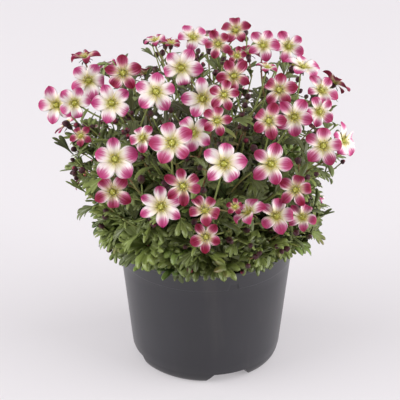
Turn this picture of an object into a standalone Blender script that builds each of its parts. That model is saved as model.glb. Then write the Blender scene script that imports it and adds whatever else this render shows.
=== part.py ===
"""A mossy saxifrage in flower, in a tapered nursery pot.

The pot holds a body of peat. A leafy cushion is rooted in the peat and hangs over the rim.
Flowering stems and leafy shoots stand in plain holes in the cushion. Lengths are in metres,
+Z is up, -Y is the front, and the pot's axis is the Z axis.
"""

import math
import random
from collections import namedtuple

import bmesh
import bpy
from mathutils import Vector, noise

MM = 0.001
UP = Vector((0.0, 0.0, 1.0))
SEED = 11
GAP = 0.3 * MM
GOLDEN_ANGLE = math.pi * (3 - math.sqrt(5))

# Pot
POT_SIDES = 34
SOIL_SIDES = 20
POT_HEIGHT = 87.0 * MM
LIP_RADIUS = 59.4 * MM
COLLAR_RADIUS = 56.4 * MM
COLLAR_FOOT = 73.6 * MM
COLLAR_STEP = 0.6 * MM
LIP_BAND = 3.0 * MM
CORNER_RADIUS = 50.6 * MM
CORNER_HEIGHT = 14.0 * MM
BASE_RADIUS = 43.4 * MM
WALL = 1.3 * MM
FLOOR = 2.4 * MM
NOTCHES = 4
NOTCH_AZIMUTH = math.radians(-71)
NOTCH_ARC = math.radians(41)
NOTCH_TAPER = 0.62
NOTCH_HEIGHT = 7.2 * MM
NOTCH_INNER_RADIUS = 35.5 * MM
CATCH_AZIMUTH = math.radians(-72.3)
CATCH_WIDTH = 7.8 * MM
CATCH_HEIGHT = 4.3 * MM
CATCH_TAPER = 0.6
NOTCH_ROOF = NOTCH_HEIGHT + WALL

# Soil
SOIL_LEVEL = 82.0 * MM
SOIL_BUMP = 0.9 * MM
ROOT_RADIUS = 7.0 * MM
ROOT_DEPTH = 14.0 * MM
ROOT_SIDES = 8
CRUMB_SPACING = 6 * MM

# Cushion
CORE_FOOT = SOIL_LEVEL + GAP
CORE_TOP = 132.4 * MM
CORE_WIDEST = 100.4 * MM
CORE_RADIUS = 48.0 * MM
CORE_FOOT_RADIUS = 46.0 * MM
CORE_ROWS = 7
CORE_COLUMNS = 22
CUSHION_LEAVES = 72

# Head of flowers
DOME_TOP = 217.4 * MM
DOME_WIDEST = 164.4 * MM
DOME_RADIUS = 101.0 * MM
DOME_NECK_RADIUS = 68.0 * MM
DOME_FOOT = 90.4 * MM
DOME_POWER = 2.1
HEART = Vector((0.0, 0.0, 76.4 * MM))

# Stems, leaves and buds
STEM_RADIUS = 0.95 * MM
PEDICEL_RADIUS = 0.8 * MM
CALYX_RADIUS = 1.7 * MM
CALYX_DROP = 2.3 * MM
NECK_DROP = 5.0 * MM
HOLE_RADIUS = STEM_RADIUS + 2 * GAP
HOLE_DEPTH = 7.0 * MM
WELD_HEIGHT = 0.35 * MM
WELD_SHARE = 0.75
FOLD_COST = 1.0
BLADE = 0.9 * MM
LEAF_RIB = 0.56
STALK_HALF_WIDTH = 0.6 * MM
PETAL = 1.0 * MM
PETAL_NOTCH = 0.30
PETAL_RIB = 0.62
PETAL_WIDEST = 0.66
PETAL_HALF_WIDTH = 0.36
PETAL_TIP = 0.96
PETAL_TIP_HALF_WIDTH = 0.21
OVARY_HEIGHT = 1.6 * MM
SPRAY_REACH = 38.0 * MM
SPRAY_BLOOMS = 3
FORK_DEPTH = 25.0 * MM
LONE_FORK_DEPTH = 14.0 * MM
SHOOTS = 15
BRANCH_START = 1.1 * MM
LEAF_START = 1.2 * MM
STEM_LEAF = 15.0 * MM
TIP_LEAF = 16.0 * MM
SHOOT_LEAVES = (15.0 * MM, 19.0 * MM)
SHOOT_LEAVES_MOST = 7
SHOOT_LEAVES_LEAST = 5
CUSHION_LEAF = (20.0 * MM, 27.0 * MM)
BUD_STALK = (11.0 * MM, 17.0 * MM)
BUD_RADIUS = (1.7 * MM, 2.2 * MM)
BUD_LENGTH = 4.4 * MM
BUDS_A_SPRAY = 2

# Radius of the space kept clear around each thing
STEM_ROOM = 1.25 * MM
PEDICEL_ROOM = 1.1 * MM
PETAL_ROOM = 1.7 * MM
CALYX_ROOM = 2.2 * MM
LEAF_ROOM = 1.1 * MM
BUD_ROOM = 2.0 * MM
CORE_ROOM = 0.8 * MM
FORK_ROOM = 9.0 * MM

# Where the photograph was taken from, for placing each bloom on its line of sight
VIEW_TILT = math.radians(25.5)
VIEW_DISTANCE = 800 * MM
VIEW_POINT = Vector((-4 * MM, 0.0, 110.4 * MM))
VIEW_FOCAL_PIXELS = 1225
VIEW_MIDDLE_PIXEL = 200
SIGHT_START = 620 * MM
SIGHT_STEP = 1 * MM
SIGHT_STEPS = 330
PUSH_STEP = 1.5 * MM
PUSHES = 18

# One bloom as the photograph shows it. column and row are the pixel of its eye, width is in
# millimetres, right and up are how far it faces away from the lens (0 straight at it, 1 edge
# on), turn is the angle in degrees of one petal, clockwise from upright, and tone is its colour.
Seen = namedtuple("Seen", "column row width right up turn petals tone")

BLOOMS_SEEN = (
    Seen(75, 103, 21, -0.15, 0.05, 20, 5, "pale"),
    Seen(57, 105, 24, -0.30, 0.05, -20, 5, "pale"),
    Seen(112, 103, 25, -0.05, 0.10, -20, 5, "pale"),
    Seen(89, 81, 24, -0.05, 0.30, -50, 5, "pale"),
    Seen(85, 58, 21, -0.15, 0.90, 10, 5, "dark"),
    Seen(81, 136, 14, -0.25, 0.25, -35, 5, "dark"),
    Seen(123, 73, 23, 0.00, 0.05, 0, 5, "deep"),
    Seen(156, 92, 25, 0.00, 0.10, 5, 5, "pale"),
    Seen(155, 41, 15, -0.15, 0.85, 20, 5, "rose"),
    Seen(171, 44, 14, 0.10, 0.90, 0, 5, "deep"),
    Seen(181, 68, 25, 0.00, 0.05, 28, 5, "pale"),
    Seen(193, 38, 23, 0.15, 0.60, -20, 5, "pale"),
    Seen(218, 44, 19, 0.00, 0.15, -25, 5, "deep"),
    Seen(236, 31, 22, 0.00, 0.50, 0, 5, "deep"),
    Seen(263, 46, 22, 0.05, 0.35, 25, 5, "rose"),
    Seen(288, 47, 22, 0.20, 0.35, -20, 5, "rose"),
    Seen(303, 68, 23, 0.30, 0.75, 10, 5, "pale"),
    Seen(237, 56, 13, 0.00, 0.30, 10, 5, "dark"),
    Seen(267, 68, 14, 0.20, 0.85, 0, 5, "rose"),
    Seen(224, 95, 19, 0.05, 0.15, 10, 5, "deep"),
    Seen(234, 76, 21, 0.00, 0.10, -30, 5, "deep"),
    Seen(217, 121, 19, 0.05, 0.05, 15, 5, "deep"),
    Seen(203, 99, 25, 0.00, 0.10, -10, 5, "pale"),
    Seen(294, 117, 22, 0.05, 0.05, 30, 5, "rose"),
    Seen(279, 90, 22, 0.00, 0.10, 5, 5, "deep"),
    Seen(269, 121, 21, -0.05, 0.10, 20, 5, "deep"),
    Seen(319, 112, 20, 0.30, 0.10, 50, 5, "rose"),
    Seen(321, 91, 22, 0.30, 0.50, -30, 5, "rose"),
    Seen(323, 146, 24, 0.10, 0.05, 12, 5, "rose"),
    Seen(343, 141, 22, 0.75, 0.20, 0, 5, "pale"),
    Seen(172, 143, 27, -0.05, 0.10, -12, 5, "rose"),
    Seen(193, 133, 23, 0.05, 0.10, 45, 5, "pale"),
    Seen(143, 138, 17, -0.15, 0.20, -35, 5, "rose"),
    Seen(115, 159, 26, -0.05, 0.05, 5, 5, "pale"),
    Seen(224, 164, 26, 0.05, 0.10, 10, 5, "pale"),
    Seen(271, 164, 25, 0.05, 0.05, 15, 5, "rose"),
    Seen(113, 192, 23, -0.05, 0.05, 35, 5, "deep"),
    Seen(183, 186, 22, 0.00, 0.05, -10, 6, "deep"),
    Seen(296, 190, 21, -0.25, 0.10, 80, 5, "deep"),
    Seen(161, 207, 26, 0.00, 0.15, 0, 6, "pale"),
    Seen(205, 211, 21, 0.00, 0.45, 35, 5, "deep"),
    Seen(206, 237, 19, 0.00, 0.05, -35, 5, "deep"),
    Seen(249, 213, 22, -0.45, 0.70, 0, 5, "rose"),
    Seen(276, 217, 23, 0.05, 0.45, 15, 5, "rose"),
    Seen(302, 218, 20, 0.10, 0.45, 180, 5, "rose"),
    Seen(235, 207, 11, 0.05, 0.40, 0, 5, "dark"),
)

# Blooms on the sides that the photograph doesn't show. They stay below the head's upper outline
# as the photograph shows it: its top pixel, and its drop in pixels at half its width.
FAR_BLOOMS_TRIED = 150
FAR_SPACING = 30 * MM
FAR_LOWEST = 0.32
FAR_SPAN = 0.66
FAR_TOWARD_LENS = 0.10
SKYLINE_COLUMN = 215
SKYLINE_ROW = 36
SKYLINE_HALF_WIDTH = 130
SKYLINE_DROP = 45
FAR_WIDTHS = (19, 22, 24, 25)
FAR_TONES = ("pale", "deep", "rose", "pale", "rose", "dark")

Bloom = namedtuple("Bloom", "centre normal upright radius turn petals tone")
# place says which side of which stretch of the stem, or which field of the core, a thing grows from
Leaf = namedtuple("Leaf", "place root along face length lobes arch")
Pedicel = namedtuple("Pedicel", "place points")
Bud = namedtuple("Bud", "place points size")
Growth = namedtuple("Growth", "field stem drill pedicels blooms leaves buds")

# Outline of half a leaf: share of its length, and share of its length to the side
LEAF_HALVES = {
    1: ((0.50, 0.085), (0.78, 0.065)),
    3: ((0.46, 0.050), (0.80, 0.260), (0.69, 0.085)),
    5: ((0.40, 0.050), (0.60, 0.280), (0.60, 0.130), (0.87, 0.215), (0.78, 0.070)),
}


def cut(first, second, share):
    """The point that lies a share of the way from one point to another."""
    return first + (second - first) * share


def bend(start, middle, end, steps):
    """Points of the arc drawn by three guide points."""
    points = []
    for step in range(steps + 1):
        share = step / steps
        points.append(cut(cut(start, middle, share), cut(middle, end, share), share))
    return points


def square_to(direction):
    """A unit vector at right angles to a direction, level where that is possible."""
    side = direction.cross(UP)
    if side.length < 0.05:
        side = direction.cross(Vector((0.0, 1.0, 0.0)))
    return side.normalized()


def sight_line(column, row):
    """The lens and the direction of what it sees at one pixel, with right and up in the picture."""
    ahead = Vector((0.0, math.cos(VIEW_TILT), -math.sin(VIEW_TILT)))
    right = Vector((1.0, 0.0, 0.0))
    above = right.cross(ahead)
    lens = VIEW_POINT - ahead * VIEW_DISTANCE
    line = ahead * VIEW_FOCAL_PIXELS
    line += right * (column - VIEW_MIDDLE_PIXEL) - above * (row - VIEW_MIDDLE_PIXEL)
    return lens, line.normalized(), right, above


def dome_depth(point):
    """How far a point is outside the head of flowers, as a share of its radius; inside is negative."""
    reach = math.hypot(point.x, point.y)
    if point.z > DOME_WIDEST:
        rise = (point.z - DOME_WIDEST) / (DOME_TOP - DOME_WIDEST)
        return ((reach / DOME_RADIUS) ** DOME_POWER + rise**DOME_POWER) ** (1 / DOME_POWER) - 1
    fall = (DOME_WIDEST - point.z) / (DOME_WIDEST - DOME_FOOT)
    return reach / (DOME_RADIUS - (DOME_RADIUS - DOME_NECK_RADIUS) * fall**1.4) - 1


def dome_point(azimuth, climb):
    """The point of the head of flowers seen from its heart at an azimuth and a climb."""
    level = math.cos(climb)
    away = Vector((math.cos(azimuth) * level, math.sin(azimuth) * level, math.sin(climb)))
    near, far = 0.0, 0.25
    for _ in range(30):
        reach = (near + far) / 2
        if dome_depth(HEART + away * reach) < 0:
            near = reach
        else:
            far = reach
    return HEART + away * near, away


def core_radius(height):
    """Radius of the cushion's core at one height."""
    if height > CORE_WIDEST:
        rise = min(1.0, (height - CORE_WIDEST) / (CORE_TOP - CORE_WIDEST))
        return CORE_RADIUS * math.sqrt(1 - rise * rise)
    fall = (CORE_WIDEST - height) / (CORE_WIDEST - CORE_FOOT)
    return CORE_RADIUS - (CORE_RADIUS - CORE_FOOT_RADIUS) * fall * fall


def in_core(point, spare):
    """Whether a point lies inside the core, or closer to it than spare."""
    if point.z < CORE_FOOT - spare or point.z > CORE_TOP + spare:
        return False
    height = min(max(point.z, CORE_FOOT), CORE_TOP)
    return math.hypot(point.x, point.y) < core_radius(height) + spare


def core_heights():
    """Heights of the core's rings, closer together towards its top."""
    heights = []
    for row in range(CORE_ROWS + 1):
        share = row / CORE_ROWS
        heights.append(CORE_FOOT + (CORE_TOP - 2.0 * MM - CORE_FOOT) * (share * 1.25 - 0.25 * share**2))
    return heights


def core_corner(row, column):
    """One corner of the core's fields."""
    height = core_heights()[row]
    angle = math.tau * column / CORE_COLUMNS
    reach = core_radius(height)
    return Vector((reach * math.cos(angle), reach * math.sin(angle), height))


def core_field(field):
    """Middle of one field of the core and the direction that it faces."""
    row, column = field
    corners = [core_corner(row, column), core_corner(row, column + 1),
               core_corner(row + 1, column + 1), core_corner(row + 1, column)]
    middle = sum(corners, Vector()) / 4
    facing = (corners[2] - corners[0]).cross(corners[3] - corners[1])
    return middle, facing.normalized()


def core_fields():
    """Every field of the core, from the foot up."""
    return [(row, column) for row in range(CORE_ROWS) for column in range(CORE_COLUMNS)]


def ring_axes(points):
    """Run, side and other axis at each point of a line, carried along it without twisting."""
    axes = []
    side = square_to((points[1] - points[0]).normalized())
    for number, point in enumerate(points):
        before = points[max(number - 1, 0)]
        after = points[min(number + 1, len(points) - 1)]
        run = (after - before).normalized()
        side = (side - run * side.dot(run)).normalized()
        axes.append((run, side, run.cross(side)))
    return axes


def stem_side(stem, stretch, side, share):
    """A point in a stem's axis part way along a stretch, and the direction one of its 3 sides faces."""
    run, first, second = ring_axes(stem)[stretch]
    angle = math.tau * (side + 0.5) / 3
    facing = first * math.cos(angle) + second * math.sin(angle)
    return cut(stem[stretch], stem[stretch + 1], share), facing


def stands_out(along, facing, run):
    """Whether a branch leaves the side of a stem it grows from, and doesn't lean over its neighbours."""
    return along.dot(facing) > max(0.35, 1.6 * abs(along.dot(run.cross(facing))))


class Room:
    """The space that is taken, as small balls, each marked with what it belongs to."""

    CELL = 6 * MM

    def __init__(self):
        self.cells = {}

    def cell(self, point):
        return (int(point.x // self.CELL), int(point.y // self.CELL), int(point.z // self.CELL))

    def add(self, balls, owner):
        for centre, radius in balls:
            self.cells.setdefault(self.cell(centre), []).append((centre, radius, owner))

    def clear(self, balls, own=()):
        """Whether none of these balls meets the pot, the soil or a ball that isn't in own."""
        for centre, radius in balls:
            reach = math.hypot(centre.x, centre.y)
            if centre.z - radius < SOIL_LEVEL + 2 * SOIL_BUMP and reach < LIP_RADIUS:
                return False
            if centre.z - radius < POT_HEIGHT + GAP and reach - radius < LIP_RADIUS + GAP:
                if reach + radius > COLLAR_RADIUS - WALL:
                    return False
            column, line, level = self.cell(centre)
            for x in (column - 1, column, column + 1):
                for y in (line - 1, line, line + 1):
                    for z in (level - 1, level, level + 1):
                        for other, size, owner in self.cells.get((x, y, z), ()):
                            if owner in own:
                                continue
                            if (other - centre).length < radius + size + GAP:
                                return False
        return True


def petal_axes(bloom, petal):
    """Directions along one petal and across it, in the bloom's plane."""
    upright = (bloom.upright - bloom.normal * bloom.upright.dot(bloom.normal)).normalized()
    right = upright.cross(bloom.normal)
    angle = math.radians(bloom.turn + 360 * petal / bloom.petals)
    along = upright * math.cos(angle) + right * math.sin(angle)
    return along, bloom.normal.cross(along)


def petal_rise(share):
    """Height of a petal over its bloom's plane, as a share of the radius: cupped, its tip bent back."""
    return 0.30 * share - 0.22 * share * share


def bloom_balls(bloom):
    balls = [(bloom.centre - bloom.normal * 2.5 * MM, CALYX_ROOM)]
    for petal in range(bloom.petals):
        along, across = petal_axes(bloom, petal)
        for share, side in ((0.3, 0), (0.62, 0.17), (0.62, -0.17), (0.9, 0.12), (0.9, -0.12)):
            place = along * share + across * side + bloom.normal * petal_rise(share)
            balls.append((bloom.centre + place * bloom.radius, PETAL_ROOM))
    return balls


def line_balls(points, radius, skip_first=0.0, skip_last=0.0):
    """Balls along a line of points, leaving out some of its length at either end."""
    total = sum((b - a).length for a, b in zip(points, points[1:]))
    balls = []
    passed = 0.0
    for first, second in zip(points, points[1:]):
        length = (second - first).length
        count = max(1, int(length / (2 * MM)))
        for step in range(count + 1):
            at = passed + length * step / count
            if skip_first <= at <= total - skip_last:
                balls.append((cut(first, second, step / count), radius))
        passed += length
    return balls


def leaf_point(leaf, share, side, lift=0.0):
    """A point of an arched leaf: share along it, side as a share of its length, lift in metres."""
    angle = leaf.arch * share
    bow = leaf.arch if abs(leaf.arch) > 0.01 else 0.01
    forward = math.sin(bow * share) / bow * leaf.length
    down = (1 - math.cos(bow * share)) / bow * leaf.length
    across = leaf.face.cross(leaf.along)
    facing = leaf.face * math.cos(angle) + leaf.along * math.sin(angle)
    trough = facing * abs(side) * leaf.length * 0.25
    middle = leaf.root + leaf.along * forward - leaf.face * down
    return middle + across * side * leaf.length + trough + facing * lift


def leaf_balls(leaf):
    """Balls along a leaf's rib, from its root, and out to the corners of its outline."""
    balls = [(leaf_point(leaf, share, 0), LEAF_ROOM) for share in (0.07, 0.15, 0.25, 0.35, 0.45, LEAF_RIB)]
    ends = [(1.0, 0.0)]
    for share, side in LEAF_HALVES[leaf.lobes]:
        ends += [(share, side), (share, -side)]
    for share, side in ends:
        for part in (0.4, 0.7, 1.0):
            place = leaf_point(leaf, LEAF_RIB + (share - LEAF_RIB) * part, side * part)
            balls.append((place, (1.3 - 0.5 * part) * MM))
    return balls


def seen_bloom(seen, room):
    """A bloom on its line of sight, as near as the head of flowers and its neighbours allow."""
    lens, line, right, above = sight_line(seen.column, seen.row)
    best, least = None, 1e9
    for step in range(SIGHT_STEPS):
        point = lens + line * (SIGHT_START + step * SIGHT_STEP)
        depth = dome_depth(point)
        if depth < least:
            best, least = point, depth
        if depth < 0:
            break
    normal = right * seen.right + above * seen.up
    normal -= line * math.sqrt(max(0.02, 1 - seen.right**2 - seen.up**2))
    for push in range(PUSHES):
        centre = best + line * push * PUSH_STEP
        bloom = Bloom(centre, normal.normalized(), above + line * 0.01, seen.width / 2 * MM,
                      seen.turn, seen.petals, seen.tone)
        if room.clear(bloom_balls(bloom)):
            break
    return bloom


def skyline(column):
    """Row of the photograph that the far blooms stay below."""
    return SKYLINE_ROW + SKYLINE_DROP * ((column - SKYLINE_COLUMN) / SKYLINE_HALF_WIDTH) ** 2


def picture_place(point):
    """Column and row of the photograph where a point shows."""
    lens, ahead, right, above = sight_line(VIEW_MIDDLE_PIXEL, VIEW_MIDDLE_PIXEL)
    scale = VIEW_FOCAL_PIXELS / (point - lens).dot(ahead)
    column = VIEW_MIDDLE_PIXEL + (point - lens).dot(right) * scale
    return column, VIEW_MIDDLE_PIXEL - (point - lens).dot(above) * scale


def far_blooms(draw, room, blooms):
    """Blooms on the sides that the photograph doesn't show, spread by the golden angle."""
    found = []
    toward_lens = -sight_line(VIEW_MIDDLE_PIXEL, VIEW_MIDDLE_PIXEL)[1]
    for number in range(FAR_BLOOMS_TRIED):
        azimuth = number * GOLDEN_ANGLE
        climb = math.asin(FAR_LOWEST + FAR_SPAN * (number + 0.5) / FAR_BLOOMS_TRIED)
        point, away = dome_point(azimuth, climb)
        point += away * draw.uniform(-7, 1) * MM
        normal = away + UP * draw.uniform(-0.1, 0.45) + square_to(away) * draw.uniform(-0.3, 0.3)
        column, row = picture_place(point)
        if away.dot(toward_lens) > FAR_TOWARD_LENS or row < skyline(column):
            continue
        if any((other.centre - point).length < FAR_SPACING for other in blooms + found):
            continue
        bloom = Bloom(point, normal.normalized(), UP + away * 0.01, draw.choice(FAR_WIDTHS) / 2 * MM,
                      draw.uniform(0, 72), 5, draw.choice(FAR_TONES))
        if room.clear(bloom_balls(bloom)):
            room.add(bloom_balls(bloom), ("bloom", len(blooms) + len(found)))
            found.append(bloom)
    return found


def group_blooms(blooms):
    """Neighbouring blooms gathered into sprays, at most SPRAY_BLOOMS in each."""
    left = sorted(range(len(blooms)), key=lambda index: -(blooms[index].centre - HEART).length)
    groups = []
    while left:
        first = left.pop(0)
        near = sorted(left, key=lambda index: (blooms[index].centre - blooms[first].centre).length)
        mates = [i for i in near[: SPRAY_BLOOMS - 1]
                 if (blooms[i].centre - blooms[first].centre).length < SPRAY_REACH]
        for mate in mates:
            left.remove(mate)
        groups.append([first] + mates)
    return groups


def stem_route(tip, fields, draw, tries):
    """A stem from a free field of the core to a tip, with the field and the direction of its hole."""
    away = (tip - HEART).normalized()
    away += UP * draw.uniform(0.1, 0.4) + square_to(away) * draw.gauss(0, 0.02 * tries)
    target = cut(HEART, tip, 0.45) + UP * draw.uniform(-6, 6) * MM
    ranked = sorted(fields, key=lambda field: (core_field(field)[0] - target).length)
    field = ranked[min(len(ranked) - 1, int(draw.uniform(0, 1 + tries / 12)))]
    mouth, facing = core_field(field)
    drill = (facing * 1.2 + away.normalized()).normalized()
    start = mouth + drill * 1.0 * MM
    reach = (tip - start).length
    middle = cut(start, tip, 0.5) + drill * reach * 0.16
    return [mouth - drill * HOLE_DEPTH] + bend(start, middle, tip, 3), field, drill


def outside_core(balls):
    return not any(in_core(centre, CORE_ROOM) for centre, _ in balls)


def to_bloom(start, heading, bloom):
    """Points of a pedicel from its start to just under the calyx of a bloom, and to the calyx."""
    neck = bloom.centre - bloom.normal * NECK_DROP
    reach = (neck - start).length
    guide = cut(start + heading * reach * 0.4, neck - bloom.normal * min(8 * MM, reach * 0.4), 0.5)
    return bend(start, guide, neck, 2) + [bloom.centre - bloom.normal * CALYX_DROP]


def spray_lines(group, blooms, fields, draw, room, name):
    """Stem and pedicels of one spray, tried with growing freedom until they are clear of the rest."""
    back = sum((blooms[i].centre - blooms[i].normal * 5 * MM for i in group), Vector()) / len(group)
    for tries in range(240):
        away = (back - HEART).normalized()
        depth = (LONE_FORK_DEPTH if len(group) == 1 else FORK_DEPTH) * draw.uniform(0.6, 1.15)
        fork = back - away * depth + Vector([draw.gauss(0, 0.15 * MM * tries) for _ in range(3)])
        if in_core(fork, FORK_ROOM):
            fork = back - away * depth * 0.4
        stem, field, drill = stem_route(fork, fields, draw, tries)
        balls = line_balls(stem, STEM_ROOM, skip_first=HOLE_DEPTH + 2 * MM)
        if not room.clear(balls, {name}) or not outside_core(balls[2:]):
            continue
        pedicels = []
        free = [0, 1, 2]
        run = ring_axes(stem)[-1][0]
        for number, index in enumerate(group):
            if number == 0:
                place = "tip"
                points = to_bloom(stem[-1], run, blooms[index])[1:]
                line = [stem[-1]] + points
            else:
                aim = (blooms[index].centre - stem[-1]).normalized()
                side = max(free, key=lambda s: stem_side(stem, 3, s, 0.6)[1].dot(aim))
                free.remove(side)
                axis, facing = stem_side(stem, 3, side, 0.7)
                root = axis + facing * BRANCH_START
                place = (3, side)
                points = line = to_bloom(root, (facing + run).normalized(), blooms[index])
                if not stands_out((points[1] - points[0]).normalized(), facing, run):
                    break
            own = {name, ("bloom", index)}
            balls = line_balls(line, PEDICEL_ROOM, skip_last=4 * MM)
            if not room.clear(balls, own) or not outside_core(balls):
                break
            pedicels.append(Pedicel(place, points))
        if len(pedicels) == len(group):
            return Growth(field, stem, drill, pedicels, [blooms[i] for i in group], [], [])
    return None


def try_leaf(draw, room, place, root, facing, heading, name, length, lobes, arch):
    """A leaf turned until it is clear of everything else, or nothing."""
    for tries in range(16):
        spread = 0.15 + 0.035 * tries
        along = heading + square_to(heading) * draw.gauss(0, spread) + UP * draw.gauss(0, spread)
        along.normalize()
        if along.dot(facing) < 0.45:
            continue
        face = UP + facing * draw.uniform(-0.2, 0.2)
        face -= along * face.dot(along)
        if face.length < 0.15:
            continue
        leaf = Leaf(place, root, along, face.normalized(), length * draw.uniform(0.9, 1.1), lobes, arch)
        balls = leaf_balls(leaf)
        if outside_core(balls[3:]) and room.clear(balls, {(name, "line")}):
            room.add(balls, name)
            return leaf
    return None


def stem_leaf(draw, room, stem, stretch, side, share, name, length, lobes):
    """A leaf on one side of one stretch of a stem."""
    axis, facing = stem_side(stem, stretch, side, share)
    run = (stem[-1] - stem[1]).normalized()
    heading = (facing + run * 0.6).normalized()
    return try_leaf(draw, room, (stretch, side), axis + facing * LEAF_START, facing, heading, name,
                    length, lobes, draw.uniform(0.2, 0.7))


def dress_spray(spray, draw, room, name):
    """Leaves up the stem and closed buds by the fork."""
    for stretch, share in ((1, 0.7), (2, 0.45)):
        for side in draw.sample((0, 1, 2), 3):
            leaf = stem_leaf(draw, room, spray.stem, stretch, side, share, name, STEM_LEAF,
                             draw.choice((3, 3, 1)))
            if leaf:
                spray.leaves.append(leaf)
                break
    taken = {part.place for part in spray.leaves + spray.pedicels}
    for place in ((3, 0), (3, 1), (3, 2), (2, 0), (2, 1), (2, 2)):
        if place in taken or len(spray.buds) == BUDS_A_SPRAY:
            continue
        axis, facing = stem_side(spray.stem, *place, 0.75)
        root = axis + facing * BRANCH_START
        run = (spray.stem[-1] - spray.stem[-2]).normalized()
        for _ in range(6):
            aim = run * draw.uniform(0.8, 1.4) + facing + square_to(run) * draw.gauss(0, 0.3)
            aim.normalize()
            tip = root + aim * draw.uniform(*BUD_STALK)
            balls = line_balls([cut(root, tip, 0.35), tip], BUD_ROOM)
            if not stands_out(aim, facing, run):
                continue
            if room.clear(balls, {(name, "line")}) and outside_core(balls):
                room.add(balls, name)
                spray.buds.append(Bud(place, [root, tip], draw.uniform(*BUD_RADIUS)))
                break


def leafy_shoot(number, fields, draw, room):
    """A shoot without flowers: a stem from the core with leaves along it and one at its tip."""
    name = ("shoot", number)
    azimuth = number * GOLDEN_ANGLE + 0.4
    for tries in range(80):
        climb = math.asin(min(0.96, 0.28 + 0.62 * ((number * 0.618) % 1) + draw.gauss(0, 0.003 * tries)))
        point, _ = dome_point(azimuth + draw.gauss(0, 0.012 * tries), climb)
        tip = cut(HEART, point, draw.uniform(0.80, 0.92))
        stem, field, drill = stem_route(tip, fields, draw, tries)
        balls = line_balls(stem, STEM_ROOM, skip_first=HOLE_DEPTH + 2 * MM)
        if not outside_core(balls[2:]) or not room.clear(balls, {name}):
            continue
        leaves = []
        marks = [(stretch, side) for stretch in (3, 2, 1) for side in (0, 1, 2)]
        taken = Room()
        taken.cells = {cell: list(items) for cell, items in room.cells.items()}
        taken.add(line_balls(stem, STEM_ROOM), (name, "line"))
        run = ring_axes(stem)[-1][0]
        last = try_leaf(draw, taken, "tip", stem[-1] + run * 1.5 * MM, run, run, name, TIP_LEAF, 3, 0.3)
        if last is None:
            continue
        leaves.append(last)
        for stretch, side in marks:
            share = 0.35 + 0.25 * side
            leaf = stem_leaf(draw, taken, stem, stretch, side, share, name,
                             draw.uniform(*SHOOT_LEAVES), draw.choice((3, 5, 3)))
            if leaf and len(leaves) < SHOOT_LEAVES_MOST:
                leaves.append(leaf)
        if len(leaves) >= SHOOT_LEAVES_LEAST:
            room.cells = taken.cells
            return Growth(field, stem, drill, [], [], leaves, [])
    return None


def cushion_leaves(fields, draw, room):
    """Leaves on the free fields of the core; the low ones hang over the pot's rim."""
    leaves = []
    low_first = sorted(draw.sample(fields, len(fields)), key=lambda field: field[0] > 2)
    for field in low_first:
        if len(leaves) == CUSHION_LEAVES:
            break
        middle, facing = core_field(field)
        level = field[0] / CORE_ROWS
        heading = (facing + UP * (0.35 + 0.8 * level)).normalized()
        length = draw.uniform(*CUSHION_LEAF)
        arch = draw.uniform(0.6, 1.2) if level < 0.3 else draw.uniform(0.1, 0.6)
        leaf = try_leaf(draw, room, field, middle + facing * 1.0 * MM, facing, heading, "cushion",
                        length, draw.choice((5, 3, 5)), arch)
        if leaf:
            leaves.append(leaf)
    return leaves


def plan_plant():
    """Everything that grows: the sprays, the leafy shoots, and the cushion's leaves."""
    draw = random.Random(SEED)
    room = Room()
    blooms = []
    for seen in BLOOMS_SEEN:
        bloom = seen_bloom(seen, room)
        room.add(bloom_balls(bloom), ("bloom", len(blooms)))
        blooms.append(bloom)
    blooms += far_blooms(draw, room, blooms)
    fields = core_fields()
    sprays = []
    groups = group_blooms(blooms)
    while groups:
        group = groups.pop(0)
        name = ("spray", len(sprays))
        spray = spray_lines(group, blooms, fields, draw, room, name)
        if spray is None:
            if len(group) > 1:
                groups += [group[:1], group[1:]]
            continue
        fields.remove(spray.field)
        room.add(line_balls(spray.stem, STEM_ROOM), (name, "line"))
        for pedicel in spray.pedicels:
            line = [spray.stem[-1]] + pedicel.points if pedicel.place == "tip" else pedicel.points
            room.add(line_balls(line, PEDICEL_ROOM), (name, "pedicel"))
        sprays.append(spray)
    for index, spray in enumerate(sprays):
        dress_spray(spray, draw, room, ("spray", index))
    shoots = []
    for number in range(SHOOTS * 2):
        if len(shoots) == SHOOTS:
            break
        shoot = leafy_shoot(number, fields, draw, room)
        if shoot:
            shoots.append(shoot)
            fields.remove(shoot.field)
    leaves = cushion_leaves(fields, draw, room)
    return sprays, shoots, leaves


def material(name, colour, roughness):
    """A plain Principled material."""
    made = bpy.data.materials.new(name)
    made.use_nodes = True
    shader = made.node_tree.nodes["Principled BSDF"]
    shader.inputs["Base Color"].default_value = (*colour, 1)
    shader.inputs["Roughness"].default_value = roughness
    shader.inputs["Metallic"].default_value = 0
    made.diffuse_color = (*colour, 1)
    return made


def add_object(name, vertices, faces, materials, index=0):
    """A mesh object whose faces all use one of the materials, with its normals facing out."""
    mesh = bpy.data.meshes.new(name)
    mesh.from_pydata([tuple(v) for v in vertices], [], faces)
    for each in materials:
        mesh.materials.append(each)
    shape = bmesh.new()
    shape.from_mesh(mesh)
    bmesh.ops.recalc_face_normals(shape, faces=shape.faces)
    for face in shape.faces:
        face.material_index = index
    shape.to_mesh(mesh)
    shape.free()
    made = bpy.data.objects.new(name, mesh)
    bpy.context.scene.collection.objects.link(made)
    return made


def apply_modifiers(body):
    """Makes a body's evaluated mesh its own."""
    graph = bpy.context.evaluated_depsgraph_get()
    mesh = bpy.data.meshes.new_from_object(body.evaluated_get(graph))
    body.modifiers.clear()
    old = body.data
    body.data = mesh
    bpy.data.meshes.remove(old)


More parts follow.
